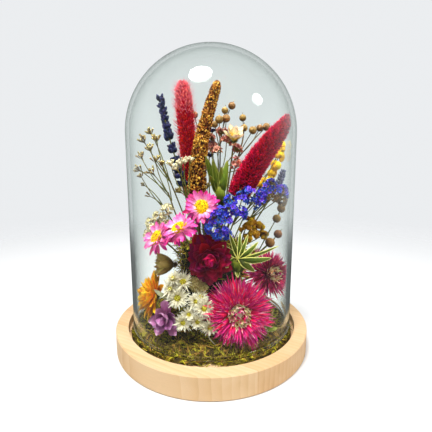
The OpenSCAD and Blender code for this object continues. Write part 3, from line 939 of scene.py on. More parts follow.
spray(
    "flax_spray_tall", "flax_tall", "seed_balls", (8, 15, 160),
    [(18, 15, 189), (12, 15, 185), (13, 13, 178), (7, 13, 177), (3, 14, 173)], capsule(3.3),
    [SEED, STEM_BROWN],
)
spray(
    "flax_spray_right", "flax_right", "seed_balls", (26, 14, 152),
    [(28, 17, 179), (29, 14, 170), (37, 15, 168), (43, 15, 170), (49, 15, 171)], capsule(3.3),
    [SEED, STEM_BROWN],
)
spray(
    "flax_spray_left", "flax_left", "seed_balls", (-12, 19, 160), [(-15, 22, 182)], capsule(3.2),
    [SEED, STEM_BROWN],
)
spray(
    "flax_spray_low", "flax_low", "seed_balls", (42, -14, 66),
    [(57, -10, 80), (50, -12, 73), (56, -8, 93), (61, -3, 101)], capsule(3.7), [DARK_SEED, STEM_GREEN],
    reach=22,
)


def floret_shape(lobes):
    """A small crinkled papery funnel, radius 1, opening along +Z."""
    sides = lobes * 4
    points, along, across = [], [], []
    for i, (r, z) in enumerate([(0.12, 0.0), (0.35, 0.45), (0.75, 0.75), (1.0, 0.85)]):
        for k in range(sides):
            turn = k * TAU / sides
            wave = math.cos(lobes * turn)
            rr = r * (1 + 0.22 * wave * i / 3)
            z_here = z + 0.16 * i / 3 * math.cos(lobes * turn + 1.5)
            points.append((rr * math.cos(turn), rr * math.sin(turn), z_here))
            along.append(i / 3)
            across.append(0.5 + 0.5 * wave)
    return Shape(points, ring_faces(4, sides), along, across)


FLORET = floret_shape(5)


def floret_head(size, count, spread):
    """A tuft of papery florets, each in its own calyx."""
    def head(piece, place, way):
        out = puff(count, way, 0.9)
        at = place + out * spread * RNG.uniform(0.45, 1.0, count)[:, None]
        grow = size * RNG.uniform(0.75, 1.15, count)
        piece.scatter(FLORET, at, out, grow, 0)
        piece.scatter(CALYX, at - out * grow[:, None] * 0.9, out, slim(0.32 * grow, 1.3 * grow), 2)
    return head


BLUE = plant("blue_petal", [
    (0, (200, 190, 226)), (0.1, (74, 60, 176)), (0.5, (40, 42, 170)), (1, (70, 74, 216)),
], vary=0.7, streak=0.4, rough=0.5, hue=0.04)
LILAC = plant("lilac_petal", [
    (0, (240, 236, 240)), (0.25, (128, 100, 190)), (1, (150, 130, 214)),
], vary=0.4, streak=0.35)
PEACH = plant("peach_petal", [
    (0, (120, 44, 44)), (0.4, (196, 104, 92)), (0.8, (222, 148, 126)), (1, (236, 186, 160)),
], vary=0.7, streak=0.4, rough=0.5)

spray(
    "peach_statice", "statice_peach", "peach_petals", (6, 1, 136),
    [(9, 6, 164), (1, 5, 153), (5, 1, 148), (19, -7, 140), (23, -5, 134), (21, 0, 150), (13, 4, 157),
     (-1, 4, 159)], floret_head(2.3, 13, 4.2), [PEACH, STEM_GREEN, CALYX_BROWN],
)
spray(
    "blue_statice_left", "statice_blue_left", "blue_petals", (8, -25, 90),
    [(0, -32, 91), (5, -34, 86), (11, -34, 86), (7, -31, 101), (15, -31, 104), (11, -33, 95), (3, -32, 97)],
    floret_head(2.1, 17, 4.6), [BLUE, STEM_GREEN, CALYX_BROWN],
)
spray(
    "blue_statice_middle", "statice_blue_middle", "blue_petals", (21, -20, 100),
    [(15, -28, 110), (19, -28, 104), (24, -27, 101), (24, -25, 112), (30, -24, 116), (33, -24, 108),
     (38, -22, 112)], floret_head(2.1, 15, 4.6), [BLUE, STEM_GREEN, CALYX_BROWN],
)
OLD_FLORET = plant("spent_floret", [
    (0, (70, 48, 14)), (0.5, (124, 92, 36)), (1, (162, 126, 66)),
], vary=0.6, streak=0.4)


def spent_and_blue_head(piece, place, way):
    """Blue florets over a tuft of brown spent ones."""
    spent = 14
    out = puff(spent, np.array([0, -0.3, -0.6]), 1)
    piece.scatter(FLORET, place + out * 3.4 + [0, 0, -3.6], out, RNG.uniform(1.3, 2.0, spent), 3)
    floret_head(2.1, 15, 4.2)(piece, place, way)


spray(
    "blue_statice_right", "statice_blue_right", "blue_petals", (36, -12, 100),
    [(44, -20, 119), (48, -18, 122), (41, -20, 115), (57, -14, 118), (60, -12, 113), (53, -16, 117)],
    spent_and_blue_head, [BLUE, STEM_GREEN, CALYX_BROWN, OLD_FLORET],
)
spray(
    "lilac_statice_low", "back_statice", "lilac_petals", (0, 27, 70),
    [(-12, 34, 76), (-4, 38, 72), (4, 36, 78), (12, 34, 72), (0, 34, 84)], floret_head(2.4, 16, 4.8),
    [LILAC, STEM_GREEN, CALYX_BROWN],
)


def button_shape():
    """A yellow button flower: a flattened ball covered in small florets."""
    florets = 70
    p, out = dome_points(florets, 1.0, 0.75)
    piece = Piece()
    piece.scatter(ROUND, (0, 0, 0), (0, 0, 1), [[1, 1, 0.8]], shade=0.5)
    piece.scatter(BLOB, p, out, np.full(florets, 0.16), shade=0.5)
    points = np.concatenate(piece.points)
    return Shape(points, piece.faces, np.clip(0.4 + 0.6 * points[:, 2], 0, 1))


BUTTON = button_shape()


def button_head(size, count, spread):
    """A cluster of buttons, each in its own calyx."""
    def head(piece, place, way):
        out = puff(count, way, 0.7)
        at = place + out * spread * RNG.uniform(0.5, 1.0, count)[:, None]
        piece.scatter(BUTTON, at, out, size * RNG.uniform(0.8, 1.15, count), 0)
        piece.scatter(CALYX, at - out * size * 1.6, out, slim(np.full(count, 0.35 * size), 1.5 * size), 2)
    return head


TANSY = plant("tansy_button", [
    (0, (200, 138, 0)), (0.4, (240, 184, 0)), (1, (255, 214, 10)),
], vary=0.35, streak=0.1)
MUSTARD = plant("mustard_button", [
    (0, (96, 62, 2)), (0.4, (156, 108, 6)), (1, (206, 152, 16)),
], vary=0.5, streak=0.1)
spray(
    "tansy_spray_upper", "tansy_upper", "yellow_buttons", (38, 9, 110),
    [(62, 11, 153), (61, 12, 145), (57, 12, 137), (54, 12, 129), (49, 11, 122), (45, 10, 117),
     (60, 12, 149)], button_head(3.0, 10, 4.2), [TANSY, STEM_GREEN, CALYX_BROWN],
)
spray(
    "tansy_spray_lower", "tansy_lower", "yellow_buttons", (27, -7, 74),
    [(33, -9, 90), (40, -9, 86), (36, -11, 80), (30, -12, 75), (44, -7, 78), (29, -10, 85)],
    button_head(2.1, 15, 4.8), [MUSTARD, STEM_GREEN, CALYX_BROWN],
)


def crumb_head(size, count, spread):
    """A tight cluster of tiny cream flowers."""
    def head(piece, place, way):
        out = puff(count, way, 0.5)
        at = place + out * spread * RNG.uniform(0.6, 1.0, count)[:, None]
        piece.scatter(FLORET, at, out, size * RNG.uniform(0.7, 1.2, count), 0)
        piece.scatter(BLOB, at, out, 0.45 * size, 0)
    return head


CREAM = plant("cream_crumb", [
    (0, (160, 140, 84)), (0.4, (210, 196, 146)), (1, (234, 226, 188)),
], vary=0.5, streak=0.2)
spray(
    "cream_filler_spray", "cream_filler", "cream_petals", (-31, -8, 78),
    [(-51, -14, 81), (-44, -12, 95), (-37, -12, 101), (-50, -12, 89), (-40, -10, 90), (-47, -15, 85)],
    crumb_head(1.2, 60, 5.4), [CREAM, STEM_GREEN, CALYX_BROWN],
)

LIMONIUM = plant("limonium_flower", [
    (0, (74, 60, 24)), (0.4, (116, 96, 46)), (0.75, (168, 144, 88)), (1, (222, 206, 158)),
], vary=0.5, streak=0.4)


def tuft_head(size, count, spread):
    """A one-sided tuft of small tubular flowers on short twigs."""
    def head(piece, place, way):
        out = puff(count, way, 1.6)
        at = place + out * spread * RNG.uniform(0.1, 0.9, count)[:, None] - way * spread * 0.4
        thick = size * RNG.uniform(0.16, 0.26, count)
        piece.scatter(CALYX, at, out, slim(thick, size * RNG.uniform(0.9, 1.6, count)), 0)
        for a in at[::2]:
            piece.tube([place - way * spread, (place - way * spread * 0.2 + a) / 2, a], 0.16, 1, sides=4)
    return head


spray(
    "limonium_spray_upper", "limonium_upper", "limonium", (-36, -5, 128),
    [(-50, -3, 164), (-55, -9, 157), (-50, -9, 150), (-45, -6, 158)], tuft_head(3.2, 16, 4.2),
    [LIMONIUM, STEM_GREEN],
)
spray(
    "limonium_spray_middle", "limonium_middle", "limonium", (-36, -11, 116),
    [(-58, -12, 134), (-45, -14, 141), (-48, -13, 132), (-57, -11, 144), (-40, -13, 138)],
    tuft_head(3.0, 14, 4.4), [LIMONIUM, STEM_GREEN],
)
PALE_LIMONIUM = plant("limonium_pale", [
    (0, (110, 90, 50)), (0.4, (186, 166, 118)), (1, (236, 228, 196)),
], vary=0.3)
spray(
    "limonium_spray_inner", "limonium_inner", "limonium", (-19, -14, 112),
    [(-32, -17, 138), (-21, -20, 140), (-27, -18, 135), (-24, -19, 138), (-17, -17, 141)],
    tuft_head(2.8, 18, 3.8), [PALE_LIMONIUM, STEM_GREEN],
)
spray(
    "limonium_spray_low", "limonium_low", "limonium", (-42, -3, 104),
    [(-57, -4, 121), (-53, -4, 112), (-59, -5, 128)], tuft_head(2.6, 6, 2.2), [LIMONIUM, STEM_GREEN],
)
spray(
    "limonium_spray_back", "back_limonium", "limonium", (-2, 20, 88),
    [(-30, 30, 112), (-18, 36, 124), (-4, 34, 116), (12, 36, 122), (26, 30, 108)], tuft_head(3.0, 16, 4.4),
    [LIMONIUM, STEM_GREEN],
)

# ---- nigella, leaves and buds ----

POD_GREEN = plant("green_pod", [
    (0, (42, 50, 4)), (0.4, (72, 86, 10)), (0.8, (100, 114, 22)), (1, (132, 128, 44)),
], vary=0.3, streak=0.7, rough=0.5)
POD_EDGE = plant("pod_edge", [(0, (216, 208, 90)), (1, (236, 230, 150))], vary=0.2, streak=0.1)
POD_RIM = plant("pod_rim", [(0, (120, 130, 40)), (1, (156, 156, 70))], vary=0.2, streak=0.1)


def rimmed_blade(piece, a, b, side, width, bow=0.18):
    """A boat-shaped valve from a to b, with a pale rim along both edges."""
    a, b = np.asarray(a, float), np.asarray(b, float)
    rows = 10
    t = np.linspace(0, 1, rows)[:, None]
    up = unit(np.cross(b - a, side))
    middle = a + (b - a) * t + up * np.linalg.norm(b - a) * bow * np.sin(math.pi * t ** 0.8)
    half = width / 2 * petal_outline(t[:, 0], 0.3, 0.35, 1.2)[:, None]
    side = unit(side)
    columns = [middle - side * half + up * half * 0.7, middle, middle + side * half + up * half * 0.7]
    points = np.stack(columns, axis=1).reshape(-1, 3)
    marks = marks_of(3 * rows, np.repeat(t[:, 0], 3), np.tile([0, 0.5, 1], rows), RNG.uniform())
    piece.add(points, grid_faces(rows, 3), marks, 0)
    for edge in (columns[0], columns[2]):
        piece.tube(edge, np.linspace(0.46, 0.2, rows), 1, sides=5)


def valves(piece, foot, front, lobes):
    """The valves of a seed pod from its foot to each tip (x, y, z, width, bow), seen from `front`."""
    for x, y, z, width, bow in lobes:
        tip = np.array([x, y, z], float)
        rimmed_blade(piece, foot, tip, np.cross(tip - foot, front), width, bow)


def nigella_star():
    """A dried seed head, open as a star of ten valves."""
    piece = Piece()
    centre = np.array([21.0, -41.0, 67.5])
    lobes = [(8, -40, 78, 4.2, 0.30), (14, -40, 87, 3.4, 0.10), (22, -38, 88, 2.8, -0.02),
             (28, -38, 86, 2.8, -0.1), (36, -37, 80, 3.6, -0.2), (52, -34, 76, 2.4, -0.16),
             (46, -37, 67, 4.4, -0.3), (33, -42, 58, 5.0, -0.3), (20, -44, 54, 5.4, 0.25),
             (11, -42, 61, 4.6, 0.32)]
    valves(piece, centre, (0.05, -1, 0.1), lobes)
    body = lathe_shape([(0.25, -2.8), (0.6, -2.2), (0.95, -1.2), (1.0, -0.5), (0.8, 0.0)], 16, 0.12, 8)
    piece.scatter(body, centre + [1, 2, -1], (0.15, -0.25, 1), 5.0, 0)
    piece.tube(stem_path(foot_of((18, -36, 54), 24), (19, -37, 56), 0.05), 0.8, 2)
    piece.build("nigella_star_pod", [POD_GREEN, POD_EDGE, STEM_GREEN], "green_pod", "nigella_star")


def nigella_tall():
    """A tall seed head with six upright valves and one leaf at its side."""
    piece = Piece()
    neck = np.array([7.5, -16.0, 112.0])
    lobes = [(-4.5, -15, 145, 6.6, 0.14), (13, -15, 142, 6.4, -0.12), (1, -18, 143, 5.0, 0.05),
             (8, -19, 137, 5.0, 0.0), (3, -12, 139, 5.0, 0.0), (-1, -19, 130, 5.0, 0.2)]
    valves(piece, neck, (0, -1, 0.15), lobes)
    body = lathe_shape([(0.3, -2.6), (0.6, -1.6), (0.85, -0.6), (0.8, 0.4), (0.4, 1.4)], 14, 0.15, 6)
    piece.scatter(body, neck + [0, 0, 3], (-0.1, 0, 1), 4.4, 0)
    rimmed_blade(piece, neck + [3, -2, -4], (25, -18, 121), (0.1, -0.4, 0.6), 4.4, 0.1)
    piece.tube([(21, -18, 119), (28, -18, 122), (34, -18, 126)], [0.5, 0.4, 0.2], 2)
    stalk(piece, neck, 30, 0.01, 1.6, 2)
    piece.build("nigella_tall_pod", [POD_GREEN, POD_RIM, STEM_GREEN], "green_pod", "nigella_tall")


nigella_star()
nigella_tall()

LEAF_GREEN = plant("leaf_green", [
    (0, (78, 92, 18)), (0.5, (118, 128, 36)), (1, (150, 150, 60)),
], vary=0.2, streak=0.4)
LEAF_SILVER = plant("leaf_silver", [
    (0, (120, 124, 84)), (0.5, (160, 164, 124)), (1, (190, 190, 156)),
], vary=0.2)
LEAF_WHITE = plant("leaf_white", [
    (0, (190, 176, 136)), (0.5, (226, 218, 188)), (1, (238, 232, 210)),
], vary=0.2)


def leaf(name, node, slot, a, b, width, bend, roll, material, more=()):
    """A leaf from a to b, and `more` like it, each (a, b, roll)."""
    piece = Piece()
    a, b = np.asarray(a, float), np.asarray(b, float)
    long = np.linalg.norm(b - a)
    shape = blade_shape(width / long, bend, rows=10, foot=0.25, peak=0.45, blunt=1.5)
    piece.scatter(shape, a, b - a, long, 0, roll=[roll])
    for a2, b2, turn in more:
        a2, b2 = np.asarray(a2, float), np.asarray(b2, float)
        piece.scatter(shape, a2, b2 - a2, np.linalg.norm(b2 - a2), 0, roll=[turn])
    stalk(piece, a, 20, 0.03, 0.4, 1)
    piece.build(name, [material, STEM_GREEN], slot, node)


leaf(
    "leaf_green_right", "leaf_right", "green_leaf", (38, -39, 12), (54, -34, 15), 8, 0.2, 1.2, LEAF_GREEN,
    [((42, -38, 10), (55, -29, 20), 0.4), ((40, -40, 9), (52, -39, 8), 2.0)],
)
leaf(
    "leaf_silver_left", "leaf_silver", "silver_leaf", (-31, -42, 34), (-44, -45, 45), 3.6, 0.1, 0.6,
    LEAF_SILVER,
)
leaf("leaf_white_front", "leaf_white", "silver_leaf", (-3, -52, 12), (1, -56, 3), 3.6, 0.3, 0.4, LEAF_WHITE)


CREAM_HAIR = plant("cream_hair", [(0, (104, 84, 36)), (0.5, (170, 146, 84)), (1, (214, 194, 132))], vary=0.6)


def cream_bud():
    """A closed bud, all over fine hairs."""
    piece = Piece()
    a, b = np.array([-19.0, -37.0, 50.0]), np.array([-5.5, -42.0, 43.5])
    way = unit(b - a)
    bud_r = 3.6
    count = 900
    t = RNG.uniform(0, 1, count)
    base = frames(np.repeat(way[None], count, axis=0), RNG.uniform(0, TAU, count))
    out = base[:, 0]
    at = a + (b - a) * t[:, None] + out * (bud_r * np.sin(math.pi * (0.15 + 0.75 * t)))[:, None]
    size = slim(RNG.uniform(0.12, 0.2, count), RNG.uniform(2.4, 4, count))
    piece.scatter(SCALE, at, unit(out * 0.9 + way), size, 0)
    t = np.linspace(0, 1, 8)
    piece.tube(np.linspace(a, b, 8), bud_r * np.sin(math.pi * (0.12 + 0.78 * t)), 0, sides=10)
    stalk(piece, a, 20, 0.03, 0.6, 1)
    piece.build("cream_bud_head", [CREAM_HAIR, STEM_GREEN], "cream_petals", "cream_bud")


cream_bud()

# ---- flowers at the back ----

ROSE = plant("rose_petal", [
    (0, (190, 90, 110)), (0.4, (232, 150, 160)), (1, (250, 214, 208)),
], vary=0.3, streak=0.3)
YELLOW = plant("yellow_petal", [
    (0, (196, 130, 14)), (0.4, (236, 186, 40)), (1, (250, 222, 110)),
], vary=0.3, streak=0.3)
strawflower(
    "rose_strawflower_back", "pink_petals", "back_strawflower_pink", (-16, 42, 34), (-0.3, 1, 0.25),
    papery_rings(17, 6, 20, 5.4, (4, 74), (10, 40), 1.2, 0.45), [ROSE, GOLD_EYE, STEM_GREEN], 5, 2, 80,
)
strawflower(
    "yellow_strawflower_back", "yellow_petals", "back_strawflower_yellow", (22, 41, 28), (0.45, 0.9, 0.2),
    papery_rings(16, 6, 20, 5.0, (4, 74), (10, 40), 1.2, 0.45), [YELLOW, GOLD_EYE, STEM_GREEN], 5, 2, 80,
)
daisy("daisy_head_back", "back_daisy", ((42, 30, 52), (0.7, 0.65, 0.3), 9.0))

# ---- moss and foam ----

MOSS = plant("moss_strand", [
    (0, (66, 56, 10)), (0.25, (104, 96, 12)), (0.5, (148, 138, 22)), (0.7, (198, 186, 52)),
    (0.8, (172, 124, 52)), (1, (122, 80, 34)),
], vary=0.9, streak=0.2, rough=0.75, by="chance", cloudy=0.6)
MOSS_MAT = plant("moss_mat", [
    (0, (34, 28, 8)), (0.5, (62, 50, 16)), (1, (96, 78, 28)),
], vary=0.6, streak=0.5, rough=0.9, by="chance")
FOAM = plant("foam", [
    (0, (14, 14, 10)), (0.5, (26, 25, 18)), (1, (44, 42, 30)),
], vary=0.3, rough=0.9, by="chance")


def moss_depth(x, y):
    """How thick the moss is at a place: 0 is bare wood, and it is thin in front and thick by the foam."""
    lumps = 0.5 + 0.9 * noise.noise(Vector((x * 0.055, y * 0.055, 2.0)))
    lumps += 0.5 * noise.noise(Vector((x * 0.16, y * 0.16, 7.0)))
    r = math.hypot(x, y)
    front = math.exp(-(((x + 12) / 27) ** 2 + ((y + 71) / 8) ** 2))
    near = max(0.0, 1 - (r - FOAM_R) / 34)
    return max(0.0, 0.55 + 0.5 * lumps + 0.35 * near - 1.25 * front)


def moss_surface(x, y):
    """Height of the moss above the moss top plane: it stays low under the glass and outside it."""
    r = math.hypot(x, y)
    depth = moss_depth(x, y)
    inside = min(1.0, max(0.0, (64 - r) / 22))
    full = (FLOOR_Z - MOSS_TOP) * (1 - min(depth, 1.0)) + (depth - 1.0 if depth > 1 else 0) * 3
    return full - 0.8 + inside * 5.0 * depth


def moss_mat():
    """The matted ground under the strands, left open where the moss is thin."""
    piece = Piece()
    rings, sides = 30, 120
    radii = np.linspace(FOAM_R - 2, MOSS_R - 0.6, rings)
    points, faces = [], []
    for i, r in enumerate(radii):
        for k in range(sides):
            turn = k * TAU / sides
            edge = r if i < rings - 1 else r - 0.6 + 0.6 * math.sin(9 * turn) * math.cos(5 * turn)
            x, y = edge * math.cos(turn), edge * math.sin(turn)
            z = max(moss_surface(x, y),
                    FLOOR_Z - MOSS_TOP + 0.1) if i < rings - 1 else FLOOR_Z - MOSS_TOP + 0.05
            points.append((x, y, z + 0.5 * noise.noise(Vector((x * 0.5, y * 0.5, 1.0)))))
    for face in ring_faces(rings, sides):
        thick = sum(moss_depth(points[v][0], points[v][1]) for v in face) / 4
        if thick > 0.32:
            faces.append(face)
    n = len(points)
    piece.add(np.array(points), faces, marks_of(n, 0, RNG.uniform(0, 1, n), RNG.uniform(0, 1, n)), 1)
    return piece


def moss_bed():
    """Strands and fronds lying on the mat. None crosses the glass or hangs past the bed."""
    piece = moss_mat()
    count, fronds = 9500, 1300
    r = np.sqrt(RNG.uniform((FOAM_R / MOSS_R) ** 2, 1, count)) * (MOSS_R - 1.5)
    turn = RNG.uniform(0, TAU, count)
    x, y = r * np.cos(turn), r * np.sin(turn)
    depth = np.array([moss_depth(a, b) for a, b in zip(x, y)])
    keep = (depth > 0.22) & (RNG.uniform(0, 1, count) < np.clip(depth * 1.3, 0.15, 1))
    x, y, r = x[keep], y[keep], r[keep]
    z = np.array([moss_surface(a, b) for a, b in zip(x, y)])
    n = len(x)
    free = np.clip((62 - r) / 20, 0.0, 1)
    rise = RNG.uniform(0.02, 0.35, n) + 0.5 * free * RNG.uniform(0, 1, n)
    flat = RNG.uniform(0, TAU, n)
    toward = np.stack([np.cos(flat), np.sin(flat), rise], axis=1)
    length = RNG.uniform(3.5, 8, n) * (0.75 + 0.5 * free)
    wide = RNG.uniform(0.8, 1.5, n) * length
    at = np.stack([x, y, z + RNG.uniform(-0.4, 0.7, n)], axis=1)
    end = at + unit(toward) * length[:, None]
    out = np.hypot(end[:, 0], end[:, 1])
    keep = out < MOSS_R - 0.2
    crossing = (np.minimum(r, out) < DOME_R + 0.6) & (np.maximum(r, out) > DOME_R - DOME_WALL - 0.6)
    keep &= ~(crossing & (end[:, 2] > -0.2))
    piece.scatter(STRAND, at[keep], toward[keep], slim(wide, length)[keep], 0)
    chosen = RNG.choice(np.flatnonzero(keep), fronds, replace=False)
    long = np.minimum(length[chosen] * 1.15, 7.5)
    piece.scatter(FROND, at[chosen] + [0, 0, 0.5], toward[chosen], long, 0)
    moss_on_foam(piece)
    piece.build("moss", [MOSS, MOSS_MAT], "moss", "moss_bed")


def moss_on_foam(piece):
    """Strands pinned round the foam, thick at the foot and the back."""
    count, count_on_top = 3200, 900
    turn = RNG.uniform(0, TAU, count)
    z = RNG.uniform(0, FOAM_TOP, count)
    back = 0.5 + 0.5 * np.sin(turn)
    keep = RNG.uniform(0, 1, count) < 0.35 + 0.65 * np.maximum(back, 1 - z / 30)
    turn, z = turn[keep], z[keep]
    out = np.stack([np.cos(turn), np.sin(turn), np.zeros(len(turn))], axis=1)
    at = out * (FOAM_R + 0.4) + np.stack([0 * z, 0 * z, z], axis=1)
    toward = unit(out * RNG.uniform(0.15, 0.8, len(z))[:, None] + RNG.normal(0, 0.7, (len(z), 3)))
    piece.scatter(STRAND, at, toward, RNG.uniform(4, 9, len(z)), 0)
    r = FOAM_R * np.sqrt(RNG.uniform(0, 1, count_on_top))
    turn = RNG.uniform(0, TAU, count_on_top)
    at = np.stack([r * np.cos(turn), r * np.sin(turn), np.full(count_on_top, FOAM_TOP + 0.3)], axis=1)
    toward = np.stack([np.cos(turn * 3), np.sin(turn * 5), RNG.uniform(0, 0.8, count_on_top)], axis=1)
    piece.scatter(STRAND, at, toward, RNG.uniform(5, 9, count_on_top), 0)


def foam():
    """The block of dry foam, with a dented side and a cap at each end."""
    piece = Piece()
    foot_z = FLOOR_Z - MOSS_TOP + 1
    heights = np.linspace(foot_z, FOAM_TOP, 26)
    sides = 56
    points = []
    for z in heights:
        for k in range(sides):
            turn = k * TAU / sides
            dent = 0.8 * noise.noise(Vector((math.cos(turn) * 4, math.sin(turn) * 4, z * 0.2)))
            r = FOAM_R - 0.6 + dent
            points.append((r * math.cos(turn), r * math.sin(turn), z))
    n = len(points)
    piece.add(np.array(points), ring_faces(len(heights), sides), marks_of(n, 0, 0, RNG.uniform(0, 1, n)), 0)
    fan = [(k, (k + 1) % sides, sides) for k in range(sides)]
    cap_marks = np.full((sides + 1, 4), 0.5)
    piece.add(np.array(points[-sides:] + [(0, 0, FOAM_TOP)]), fan, cap_marks, 0)
    piece.add(np.array(points[:sides] + [(0, 0, foot_z)]), [(b, a, c) for a, b, c in fan], cap_marks, 0)
    piece.build("foam", [FOAM], "foam", "foam_block")


moss_bed()
foam()

# ---- wood and glue ----


def wood(name, shift, warm):
    """Straight-grained pale softwood. The grain runs along the boards, so end grain shows where they end."""
    n = new_material(name)

    def mapped(vector, **values):
        node = fill(n.new("Mapping"), **values)
        n.link(vector, node.inputs["Vector"])
        return node.outputs[0]

    where = n.new("TexCoord").outputs["Object"]
    turned = mapped(where, Rotation=(0, 0, math.radians(30)), Location=(shift, shift * 0.7, shift * 0.3))
    figure = n.noise(mapped(turned, Scale=(6, 95, 60)), 1.0, 2.0, 0.4, 0.3)
    rings = n.new("TexWave", wave_type="BANDS", bands_direction="Y", wave_profile="SAW")
    fill(rings, Scale=78, Distortion=3.0, Detail=2, Detail_Scale=0.35)
    n.link(turned, rings.inputs["Vector"])
    fibre = n.noise(mapped(turned, Scale=(60, 2600, 2600)), 1.0, 3.0, 0.6)
    fac = n.math("ADD", n.math("MULTIPLY", rings.outputs["Fac"], 0.22), n.math("MULTIPLY", figure, 0.7))
    tones = ((0.15, (228, 197, 156)), (0.55, (219, 182, 135)), (0.9, (196, 150, 100)))
    colour = n.ramp(fac, [(place, np.add(tone, warm)) for place, tone in tones])
    n.link(n.tint(colour, n.swing(fibre, 0.16, 1.0)), n.shader.inputs["Base Color"])
    height = n.math("ADD", n.math("MULTIPLY", rings.outputs["Fac"], 0.5), fibre)
    n.bump(height, 0.25, 0.0002)
    return n.set(Roughness=0.62, Specular_IOR_Level=0.35)


def glue():
    """Set hot glue, cloudy and uneven."""
    n = new_material("hot_glue")
    where = n.new("TexCoord").outputs["Object"]
    colour = n.ramp(n.noise(where, 300), [(0, (214, 206, 180)), (1, (236, 230, 210))])
    n.link(colour, n.shader.inputs["Base Color"])
    n.bump(n.noise(where, 500), 0.3, 0.0005)
    return n.set(Roughness=0.35, Subsurface_Weight=0.2)


def paint(node, material):
    """Gives its material to a piece that keeps its CAD shape."""
    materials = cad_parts[node].data.materials
    materials.clear()
    materials.append(material)


# Each board: where its grain is cut from, and how its colour differs from the front one's.
BOARDS = [
    ("base_board_front", 0.013, (0, 0, 0)), ("base_board_mid_front", 0.171, (-4, -8, -10)),
    ("base_board_mid_back", 0.329, (0, -3, -4)), ("base_board_back", 0.487, (-3, -5, -6)),
]
for node, shift, warm in BOARDS:
    paint(node, wood(node + "_wood", shift, warm))
paint("glue_pad", glue())

# ---- glass ----


def glass_material():
    """Slightly uneven clear glass, darker where it is seen along its surface. It lets lamps through."""
    n = new_material("clear_glass")
    n.tree.nodes.remove(n.shader)
    n.shader = fill(n.new("BsdfGlass"), Roughness=0.0, IOR=1.36)
    edge = fill(n.new("LayerWeight"), Blend=0.5)
    grazing = n.math("POWER", edge.outputs["Facing"], 4.0)
    n.link(n.ramp(grazing, [(0, (252, 254, 253)), (1, (158, 170, 164))]), n.shader.inputs["Color"])
    n.bump(n.noise(n.new("TexCoord").outputs["Object"], 22, 2.0), 0.06, 0.002)
    clear = fill(n.new("BsdfTransparent"), Color=(0.97, 0.97, 0.97, 1))
    mix = n.new("MixShader")
    n.link(n.new("LightPath").outputs["Is Shadow Ray"], mix.inputs[0])
    n.link(n.shader.outputs[0], mix.inputs[1])
    n.link(clear.outputs[0], mix.inputs[2])
    n.link(mix.outputs[0], n.tree.nodes["Material Output"].inputs["Surface"])
    return n.owner


def arc(middle_r, middle_z, radius, start, end, count):
    """Points (distance from the axis, height) of an arc between two angles in degrees."""
    turns = np.radians(np.linspace(start, end, count))
    return [(middle_r + radius * math.cos(a), middle_z + radius * math.sin(a)) for a in turns]


def glass():
    """The blown jar: a straight wall, a round crown and a bead at the rim, as one closed skin."""
    inner_r = DOME_R - DOME_WALL
    middle_r = DOME_R - DOME_WALL / 2
    # The bead is a full round with a flat under it, which cuts it this share of its radius below the middle.
    flat = 0.8
    outer = arc(0, SHOULDER_Z, DOME_R, 0, 90, 33)
    inner = arc(0, SHOULDER_Z, inner_r, 0, 90, 33)
    heights = np.linspace(RIM_Z + BEAD_H, SHOULDER_Z, 24, endpoint=False)
    wall = [(DOME_R, z) for z in heights]
    lining = [(inner_r, z) for z in heights]
    out_side = arc(middle_r, RIM_Z + flat * BEAD_R, BEAD_R, -math.degrees(math.asin(flat)), 50, 6)
    in_side = [(2 * middle_r - r, z) for r, z in reversed(out_side)]
    profile = [(0.0, inner[-1][1])] + inner[-2::-1] + lining[::-1] + in_side
    profile += out_side + wall + outer[:-1] + [(0.0, CROWN_Z)]
    jar = lathe_shape(profile, 160)
    piece = Piece()
    piece.add(jar.points, jar.faces, np.zeros((len(jar.points), 4)), 0)
    made = piece.build("glass_jar", [glass_material()], "clear_glass", "glass_dome", body="dome")
    # Joins the points that meet at the two poles and turns every face outward.
    skin = bmesh.new()
    skin.from_mesh(made.data)
    bmesh.ops.remove_doubles(skin, verts=skin.verts, dist=1e-7)
    bmesh.ops.recalc_face_normals(skin, faces=skin.faces)
    skin.to_mesh(made.data)
    skin.free()


glass()

# ---- stage, light and camera ----


# How bright the backdrop is to the eye, in reflections toward the front and the back, and as a light.
WORLD_SEEN, WORLD_REFLECTED, WORLD_LIGHT = 0.87, (0.06, 0.8), 0.62
FLOOR_SEEN, FLOOR_REFLECTED = 0.78, 0.12
# How far from the middle the floor starts to fade into the backdrop and ends, in metres.
FADE_START, FADE_END, FLOOR_HALF = 0.22, 0.75, 1.5


def dim_in_reflections(n, ray, lit, dim):
    """A strength of `dim` for light that was reflected on its way to this surface, else `lit`: the glass
    then stays clear, as if the room in front of it were darker than the backdrop."""
    reflected = n.math("MINIMUM", ray.outputs["Glossy Depth"], 1.0)
    return n.math("ADD", n.math("MULTIPLY", reflected, n.math("SUBTRACT", dim, lit)), lit)


def smooth_range(n, value, start, end, low, high):
    """A soft step from low to high as value goes from start to end."""
    step = fill(n.new("MapRange", interpolation_type="SMOOTHSTEP"), From_Min=start, From_Max=end, To_Min=low,
                To_Max=high)
    n.link(value, step.inputs["Value"])
    return step.outputs[0]


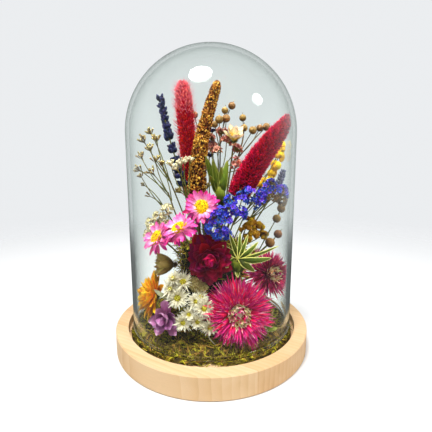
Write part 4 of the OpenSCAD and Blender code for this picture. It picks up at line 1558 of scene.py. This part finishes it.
def floor():
    """A pale floor that fades into the pale backdrop, so that no horizon shows."""
    mesh = bpy.data.meshes.new("floor")
    corners = [(x * FLOOR_HALF, y * FLOOR_HALF, 0) for x, y in ((-1, -1), (1, -1), (1, 1), (-1, 1))]
    mesh.from_pydata(corners, [], [(0, 1, 2, 3)])
    n = new_material("floor")
    shade = n.new("CombineColor")
    level = dim_in_reflections(n, n.new("LightPath"), FLOOR_SEEN, FLOOR_REFLECTED)
    for socket in shade.inputs[:3]:
        n.link(level, socket)
    n.link(shade.outputs[0], n.shader.inputs["Base Color"])
    far = n.new("VectorMath", operation="LENGTH")
    n.link(n.new("TexCoord").outputs["Object"], far.inputs[0])
    n.link(smooth_range(n, far.outputs["Value"], FADE_START, FADE_END, 1, 0), n.shader.inputs["Alpha"])
    mesh.materials.append(n.set(Roughness=0.8, Specular_IOR_Level=0.1))
    add_object("floor", mesh)


def backdrop():
    """An even, slightly blue surround, dark toward the front for what the glass reflects."""
    bpy.context.scene.world = bpy.data.worlds.new("studio")
    n = Nodes(bpy.context.scene.world)
    light = fill(n.tree.nodes["Background"], Color=(0.96, 0.98, 1.0, 1))
    ray = n.new("LightPath")
    way = n.new("SeparateXYZ")
    n.link(n.new("TexCoord").outputs["Generated"], way.inputs[0])
    room = smooth_range(n, way.outputs["Y"], -0.7, 0.5, *WORLD_REFLECTED)
    seen = dim_in_reflections(n, ray, WORLD_SEEN, room)
    scattered = n.math("MINIMUM", ray.outputs["Diffuse Depth"], 1.0)
    lighting = n.math("MULTIPLY", scattered, n.math("SUBTRACT", WORLD_LIGHT, seen))
    n.link(n.math("ADD", seen, lighting), light.inputs["Strength"])


def lamp(name, at, target, size, power):
    """A round lamp, `size` across, turned toward its target."""
    data = bpy.data.lights.new(name, "AREA")
    data.shape = "DISK"
    data.size = size
    data.energy = power
    made = add_object(name, data)
    made.location = at
    made.rotation_euler = (Vector(target) - Vector(at)).to_track_quat("-Z", "Y").to_euler()


def camera():
    data = bpy.data.cameras.new("camera")
    data.lens = 27.08
    data.sensor_width = 36
    made = add_object("camera", data)
    made.location = (0.0012, -0.2809, 0.1629)
    made.rotation_euler = (math.radians(90 - 9.91), 0, -0.01)
    bpy.context.scene.camera = made


camera()
floor()
backdrop()
lamp("key", (-0.163, -0.281, 1.076), (0, 0, 0.1), 0.36, 12)
lamp("side", (0.725, -0.302, 0.721), (0, 0, 0.12), 0.2, 2.2)
bpy.context.scene.view_settings.view_transform = "Standard"
